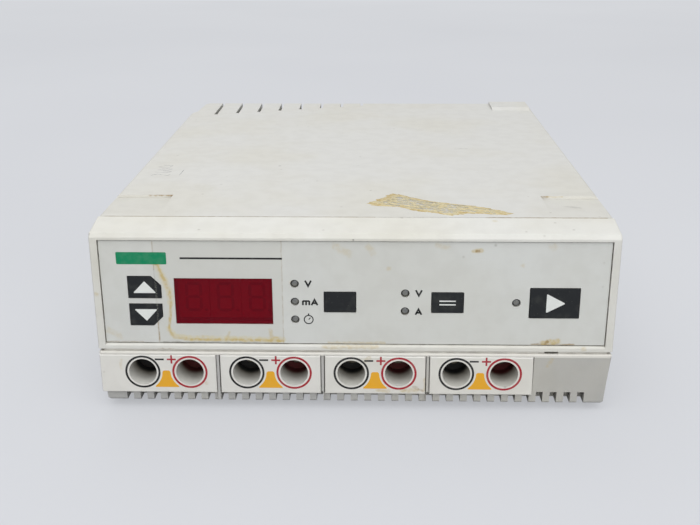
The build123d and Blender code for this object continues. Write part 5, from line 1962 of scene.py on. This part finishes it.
@dataclass
class OutputRow:
    """The four jack blocks with their contacts and board, and the marks round the wells.

    Attributes:
        shop: Where its pieces are dressed and added.
        blocks: Number of blocks.
        slot: Material slot of their marks.
        ring_radius, ring_line: Outer radius of the rings, and width of their lines.
        ring_gap: Distance from a ring to the amber spandrel.
        sign_rise: How far the signs stand over the wells' middles.
        minus_offset, plus_offset: X of the signs from the pair's middle.
        sign_length, sign_line: Length and width of their strokes.
        spandrel_low, spandrel_high: Heights of the spandrel's foot and top from the wells' middles.
        spandrel_half: Half its width at the foot.
        black, red, amber: Inks of the marks.
    """

    shop: Workshop
    blocks: int = 4
    slot: str = "socket_plastic"
    ring_radius: float = 7.12
    ring_line: float = 0.84
    ring_gap: float = 0.75
    sign_rise: float = 5.5
    minus_offset: float = -2.55
    plus_offset: float = 2.3
    sign_length: float = 3.6
    sign_line: float = 0.72
    spandrel_low: float = -6.75
    spandrel_high: float = 0.6
    spandrel_half: float = 4.75
    black: Ink = Ink("Socket black", colour(22, 22, 24), 0.42, wear=0.06)
    red: Ink = Ink("Socket red", colour(158, 30, 44), 0.42, wear=0.08)
    amber: Ink = Ink("Amber ink", colour(226, 166, 44), 0.4, ground=colour(206, 166, 84), wear=0.15)

    def build(self) -> None:
        """Dresses the blocks and adds the marks of each pair."""
        block = Extent("jack_block_1")
        self.face = Face((0.0, block.low[1], 0.0))
        numbers = range(1, self.blocks + 1)
        self.dress_blocks(block, numbers)
        contacts = [f"{kind}_contact_{number}" for kind in ("minus", "plus") for number in numbers]
        tarnished = Metal("Contact metal", colour(104, 98, 84), 0.42, stretch=(6.0, 0.4, 6.0))
        self.shop.dress(tarnished, *contacts)
        green = CircuitBoard("Output board green", colour(30, 88, 48), 0.42, cell=7.0)
        self.shop.dress(green, "output_board")
        for number in numbers:
            self.add_marks(number)

    def dress_blocks(self, block: Extent, numbers: range) -> None:
        """Gives the blocks their plastic, with its stains.

        Args:
            block: Box round the first block.
            numbers: Numbers of all blocks.
        """
        y = block.low[1]
        stains = (
            Stain(on_front(y, (-93.5, 21.5), (-93.6, 17.5)), 0.9, OCHRE, 0.3, 1.8),
            Stain(on_front(y, (-59.6, 11.5)), 1.1, OCHRE, 0.4, 1.6),
            Stain(on_front(y, (6.3, 23.6), (4.5, 21.5)), 1.2, OCHRE, 0.35, 2.0),
            Stain(on_front(y, (9.4, 9.0), (14.0, 8.6)), 1.0, OCHRE, 0.45, 1.6),
            Stain(on_front(y, (19.6, 8.8), (25.7, 9.2)), 1.4, OCHRE, 0.55, 3.0),
            Stain(on_front(y, (24.0, 10.6), (27.6, 9.0)), 0.9, BROWN, 0.45, 2.4),
            Stain(on_front(y, (28.6, 9.0), (28.6, 14.0)), 0.9, OCHRE, 0.4, 1.6),
        )
        middles = [self.pair(number)[1] for number in numbers]
        plastic = SocketPlastic(
            "Jack block plastic",
            colour(218, 217, 211),
            0.42,
            yellowing=0.2,
            sheen=0.35,
            grain_depth=0.02,
            grime_and_shade=0.3,
            grime_and_shade_reach=1.0,
            speck_share=0.2,
            top_z=block.high[2],
            floor_y=Extent("minus_contact_1").low[1] - 0.3,
            first_middle=middles[0],
            pitch=(middles[-1] - middles[0]) / (self.blocks - 1),
            stains=stains,
        )
        self.shop.dress(plastic, *(f"jack_block_{number}" for number in numbers))

    def pair(self, number: int) -> tuple[float, float, float, float]:
        """X of the minus well, the pair's middle and the plus well, and their Z."""
        minus, plus = (Extent(f"{kind}_contact_{number}").middle for kind in ("minus", "plus"))
        return minus[0], (minus[0] + plus[0]) / 2, plus[0], minus[2]

    def add_marks(self, number: int) -> None:
        """Adds rings, signs and the amber spandrel of one pair.

        Args:
            number: Number of the block.
        """
        minus_x, middle, plus_x, z = self.pair(number)
        half, arm, line = self.sign_length / 2, self.sign_line / 2, self.sign_line
        level = stroke([(-half, 0.0), (half, 0.0)], line)
        upright = stroke([(0.0, -half), (0.0, half)], line)
        arms = [stroke([(side * half, 0.0), (side * arm, 0.0)], line) for side in (-1, 1)]
        top = z + self.sign_rise
        spandrel = self.spandrel(plus_x - minus_x) + [middle, z]
        marks = (
            ("minus_ring", ring((minus_x, z), self.ring_radius, self.ring_line), self.black),
            ("plus_ring", ring((plus_x, z), self.ring_radius, self.ring_line), self.red),
            ("minus_sign", shift(level, middle + self.minus_offset, top), self.black),
            ("plus_sign", shift(join(*arms, upright), middle + self.plus_offset, top), self.red),
            ("amber_spandrel", pad(spandrel), self.amber),
        )
        for name, shell, look in marks:
            self.shop.add(f"{name}_{number}", shell, self.face, look, self.slot)

    def spandrel(self, spacing: float) -> np.ndarray:
        """Outline between two rings, under the line through their middles.

        At each height the half width is half the spacing less the reach of a ring's circle, grown
        by the gap, and at most the half width at the foot. The last three heights are drawn in, so
        that the top is round.

        Args:
            spacing: Distance between the rings' middles.

        Returns:
            Points round the outline, anticlockwise, from the pair's middle.
        """
        heights = np.linspace(self.spandrel_low, self.spandrel_high, 24)
        circle = self.ring_radius + self.ring_gap
        half = np.minimum(spacing / 2 - np.sqrt(circle**2 - heights**2), self.spandrel_half)
        half[-3:] *= np.array([0.97, 0.85, 0.55])
        right = np.stack([half, heights], axis=1)
        return np.vstack([right, right[::-1] * [-1, 1]])


@dataclass
class Interior:
    """Boards, transformer, heat sink and the parts on them.

    Attributes:
        shop: Where its pieces are dressed and added.
        can_rim, can_fade: How far under a capacitor's top its sleeve ends, and over what height.
    """

    shop: Workshop
    can_rim: float = 1.3
    can_fade: float = 0.2

    def build(self) -> None:
        """Dresses everything that the housing encloses."""
        dress = self.shop.dress
        dress(CircuitBoard("Main board green", colour(26, 90, 44), 0.42, cell=9.0), "main_board")
        ribbon = Banded("Ribbon cable", colour(150, 150, 152), 0.5, pitch=1.27, gap=colour(96, 96, 100))
        dress(ribbon, "ribbon_cable")
        core = Banded(
            "Core laminations",
            colour(116, 118, 122),
            0.5,
            pitch=0.7,
            gap=colour(40, 40, 44),
            metal=1.0,
            depth=0.08,
        )
        dress(core, "transformer_core")
        winding = Banded(
            "Winding tape",
            colour(206, 168, 70),
            0.42,
            axis=2,
            pitch=9.0,
            gap=colour(150, 112, 40),
        )
        dress(winding, "transformer_winding")
        strap = Metal("Strap steel", colour(168, 168, 164), 0.4, stretch=(0.3, 3.0, 3.0))
        dress(strap, "transformer_strap")
        dress(Metal("Heat sink", colour(158, 160, 164), 0.42, dulling=0.2), "heat_sink")
        dress(COMPONENT_BLACK, "power_transistors", "rectifier_bridge")
        for number in (1, 2):
            self.dress_capacitor(number)

    def dress_capacitor(self, number: int) -> None:
        """Gives a capacitor a blue sleeve and a bare metal top.

        Args:
            number: Number of the capacitor.
        """
        node = f"filter_capacitor_{number}"
        can = Extent(node)
        start = can.high[2] - can.low[2] - self.can_rim
        sleeve = Split(
            f"Capacitor sleeve {number}",
            colour(28, 40, 74),
            0.36,
            other=colour(186, 188, 190),
            middle=can.low[2],
            start=start,
            end=start + self.can_fade,
        )
        self.shop.dress(sleeve, node)


@dataclass
class MainsParts:
    """Inlet, fuse drawer, switch and wires at the rear, with the rocker's two marks.

    Attributes:
        shop: Where its pieces are dressed and added.
        cap_length, cap_fade: Length of the fuse's metal caps, and over what length they begin.
        wire_reach: How far the outer wire's front run reaches back from its front.
        mark_rise: Distance of the marks from the rocker's middle.
        mark_length, mark_radius: Length of the on mark, and outer radius of the off mark.
        on_line, off_line: Widths of their lines.
        face_out: Distance from the hinge to the middle of the rocker's face.
        tilt: Turn of the resting rocker about X, in radians.
        dip: Slope of each half of its face, in radians.
    """

    shop: Workshop
    cap_length: float = 5.1
    cap_fade: float = 0.2
    wire_reach: float = 5.0
    mark_rise: float = 4.6
    mark_length: float = 3.0
    mark_radius: float = 1.6
    on_line: float = 0.6
    off_line: float = 0.5
    face_out: float = 2.8
    tilt: float = np.radians(-10.0)
    dip: float = np.arctan(1.4 / 8.6)

    def build(self) -> None:
        """Dresses the mains parts and marks the rocker."""
        self.dress_plastics()
        self.dress_conductors()
        self.add_rocker_marks()

    def dress_plastics(self) -> None:
        """Gives inlet, drawer and switch black plastic, with a glossier rocker."""
        black = MouldedPlastic(
            "Inlet plastic",
            colour(27, 27, 29),
            0.38,
            aged=colour(44, 44, 46),
            dirt_and_shade=colour(96, 92, 84),
            grain_size=0.35,
            grain_depth=0.025,
            grime_and_shade=0.35,
        )
        self.shop.dress(black, "mains_inlet", "fuse_drawer", "switch_frame")
        glossy = MouldedPlastic(
            "Rocker plastic",
            colour(24, 24, 26),
            0.26,
            aged=colour(38, 38, 40),
            dirt_and_shade=colour(96, 92, 84),
            grain_size=0.5,
            grain_depth=0.008,
            grime_and_shade=0.3,
        )
        self.shop.dress(glossy, "power_rocker")

    def dress_conductors(self) -> None:
        """Gives pins, fuse and wires their finishes."""
        pins = Metal("Inlet pins", colour(186, 184, 176), 0.3, stretch=(5.0, 0.3, 5.0))
        self.shop.dress(pins, "inlet_pins")
        fuse = Extent("mains_fuse")
        start = fuse.high[0] - fuse.middle[0] - self.cap_length
        glass = Split(
            "Fuse",
            colour(176, 186, 182),
            0.22,
            other=colour(190, 188, 180),
            axis=0,
            middle=fuse.middle[0],
            start=start,
            end=start + self.cap_fade,
        )
        self.shop.dress(glass, "mains_fuse")
        sleeve = WireSleeve(
            "Wire sleeve",
            colour(104, 62, 36),
            0.45,
            other=colour(44, 78, 148),
            divide_x=Extent("mains_inlet").middle[0],
            divide_y=Extent("mains_wires").low[1] + self.wire_reach,
        )
        self.shop.dress(sleeve, "mains_wires")

    def add_rocker_marks(self) -> None:
        """Adds a line for on and a ring for off, each on its half of the dished rocker."""
        hinge = next(joint for joint in self.shop.frame["joints"] if joint["child"] == "power_rocker")
        start = self.turned((0.0, self.face_out, 0.0)) + np.array(hinge["pos_m"]) / MM
        white = Ink("Rocker white", colour(226, 226, 222), 0.4, ground=colour(40, 40, 42), wear=0.08)
        rise, half = self.mark_rise, self.mark_length / 2
        marks = {
            "on_mark": (1, stroke([(0.0, rise - half), (0.0, rise + half)], self.on_line)),
            "off_mark": (-1, ring((0.0, -rise), self.mark_radius, self.off_line)),
        }
        for name, (side, shape) in marks.items():
            up = self.turned((0.0, side * np.sin(self.dip), np.cos(self.dip)))
            face = Face(tuple(start), (-1.0, 0.0, 0.0), tuple(up))
            self.shop.add(name, shape, face, white, "rocker_plastic", "power_rocker")

    def turned(self, vector: Point) -> np.ndarray:
        """Turns a direction about X with the rocker.

        Args:
            vector: Direction in the rocker's own frame.

        Returns:
            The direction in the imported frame.
        """
        x, y, z = vector
        sine, cosine = np.sin(self.tilt), np.cos(self.tilt)
        return np.array([x, y * cosine - z * sine, y * sine + z * cosine])


@dataclass(frozen=True)
class AreaLamp:
    """A square area light.

    Attributes:
        name: Name of the light.
        place, target: Where it stands and what it looks at.
        size: Length of its sides.
        power: Power in watts.
    """

    name: str
    place: Point
    target: Point
    size: float
    power: float


@dataclass
class Studio:
    """Floor, lights, world and camera.

    Attributes:
        place: Where the camera stands.
        yaw, pitch, roll: Its turn to the right, its tilt down and its roll, in degrees.
        focal: Focal length in pixels of a picture of the given width.
        picture_width: That width in pixels.
        sensor: Width of the camera's sensor.
        floor_size: Length of the floor's sides.
        floor_glow: Share of the floor's own pale colour that the camera sees near the object.
        floor_near, floor_far: Distances between which that share grows to the whole.
        lamps: A large soft light over the front, a low one before it, and a weak one from behind.
        world_light, world_seen: Colour that the world lights with, and the one that the camera sees.
    """

    place: Point = (8.425, -493.216, 192.384)
    yaw: float = -1.5503
    pitch: float = 19.5048
    roll: float = -0.2189
    focal: float = 1001.452
    picture_width: float = 700.0
    sensor: float = 36.0
    floor_size: float = 12000.0
    floor_glow: float = 0.6
    floor_near: float = 500.0
    floor_far: float = 1800.0
    lamps: tuple[AreaLamp, ...] = (
        AreaLamp("overhead", (60.0, -900.0, 1300.0), (0.0, -60.0, 40.0), 1400.0, 11.0),
        AreaLamp("fill", (300.0, -1700.0, 350.0), (0.0, -100.0, 40.0), 1400.0, 12.0),
        AreaLamp("rear", (-300.0, 1000.0, 1250.0), (0.0, 60.0, 40.0), 1000.0, 4.0),
    )
    world_light: Rgba = (0.63, 0.63, 0.645, 1.0)
    world_seen: Rgba = (0.67, 0.685, 0.715, 1.0)

    def build(self) -> None:
        """Makes the studio round the object."""
        self.add_camera()
        self.add_floor()
        for lamp in self.lamps:
            self.add_lamp(lamp)
        self.set_world()
        bpy.context.scene.view_settings.view_transform = "Standard"

    @staticmethod
    def put_up(data: bpy.types.ID, place: Point, axes: list[np.ndarray]) -> bpy.types.Object:
        """Stands a camera or a light in the scene.

        Args:
            data: The camera or the light.
            place: Where it stands.
            axes: Its right, upward and backward directions.

        Returns:
            The new object, named after its data.
        """
        made = bpy.data.objects.new(data.name, data)
        bpy.context.scene.collection.objects.link(made)
        turn = np.eye(4)
        turn[:3, :3] = np.stack(axes, axis=1)
        turn[:3, 3] = np.array(place) * MM
        made.matrix_world = Matrix(turn.tolist())
        return made

    def add_camera(self) -> None:
        """Adds the camera: right, up and back directions from yaw, pitch and roll."""
        yaw, pitch, roll = np.radians([self.yaw, self.pitch, self.roll])
        ahead = np.array([np.sin(yaw) * np.cos(pitch), np.cos(yaw) * np.cos(pitch), -np.sin(pitch)])
        level = np.array([np.cos(yaw), -np.sin(yaw), 0.0])
        above = np.cross(level, ahead)
        right = np.cos(roll) * level + np.sin(roll) * above
        up = -np.sin(roll) * level + np.cos(roll) * above
        data = bpy.data.cameras.new("camera")
        data.sensor_width = self.sensor
        data.sensor_fit = "HORIZONTAL"
        data.lens = self.focal / self.picture_width * self.sensor
        data.clip_start = 0.01
        data.clip_end = 100.0
        bpy.context.scene.camera = self.put_up(data, self.place, [right, up, -ahead])

    def add_floor(self) -> None:
        """Adds a wide pale floor, darker to the light that it throws back at the object."""
        half = self.floor_size / 2
        corners = np.array([[-1, -1, 0], [1, -1, 0], [1, 1, 0], [-1, 1, 0]]) * half
        floor = write_piece("floor", (corners, np.array([[0, 1, 2, 3]])))
        made = bpy.data.materials.new("Floor")
        made.use_nodes = True
        made.node_tree.nodes.clear()
        graph = Graph(made.node_tree)
        rays = graph.add("ShaderNodeLightPath").outputs
        mirrored = graph.math("MAXIMUM", rays["Is Glossy Ray"], rays["Is Transmission Ray"])
        seen = graph.math("MAXIMUM", rays["Is Camera Ray"], mirrored)
        tone = graph.mix(seen, colour(120, 120, 122), colour(214, 216, 220))
        place = graph.places()
        cloud = graph.between(graph.noise(place, 420.0, 2.0), 0.3, 0.7, 0.0, 0.12)
        soft = graph.mix(cloud, tone, colour(196, 198, 204))
        lit = graph.add("ShaderNodeBsdfDiffuse", {"Color": soft}).outputs[0]
        glow = graph.add("ShaderNodeEmission", {"Color": soft, "Strength": 1.0}).outputs[0]
        from_middle = graph.vector("LENGTH", place)
        even = graph.between(from_middle, self.floor_near, self.floor_far, self.floor_glow, 1.0)
        share = graph.times(rays["Is Camera Ray"], even)
        shader = graph.add("ShaderNodeMixShader", {0: share, 1: lit, 2: glow}).outputs[0]
        graph.add("ShaderNodeOutputMaterial", {"Surface": shader})
        floor.data.materials.append(made)

    def add_lamp(self, lamp: AreaLamp) -> None:
        """Adds an area light that looks at its target.

        Args:
            lamp: Its name, place, size and power.
        """
        data = bpy.data.lights.new(lamp.name, "AREA")
        data.shape = "SQUARE"
        data.size = lamp.size * MM
        data.energy = lamp.power
        back = np.array(lamp.place) - np.array(lamp.target)
        back = back / np.linalg.norm(back)
        right = np.cross([0.0, 1.0, 0.0], back)
        right = right / np.linalg.norm(right)
        self.put_up(data, lamp.place, [right, np.cross(back, right), back])

    def set_world(self) -> None:
        """Lights the scene evenly and shows a pale background."""
        world = bpy.data.worlds.new("world")
        bpy.context.scene.world = world
        world.use_nodes = True
        world.node_tree.nodes.clear()
        graph = Graph(world.node_tree)
        rays = graph.add("ShaderNodeLightPath").outputs
        level = graph.mix(rays["Is Camera Ray"], self.world_light, self.world_seen)
        shader = graph.add("ShaderNodeBackground", {"Color": level, "Strength": 1.0}).outputs[0]
        graph.add("ShaderNodeOutputWorld", {"Surface": shader})


def main() -> None:
    """Builds the studio and every sub-assembly in order."""
    logging.basicConfig(level=logging.INFO, format="%(message)s")
    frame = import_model()
    Studio().build()
    shop = Workshop(frame)
    for part in (Housing, ControlPanel, OutputRow, Interior, MainsParts):
        part(shop).build()
        log.info("built %s", part.__name__)


if __name__ == "__main__":
    main()
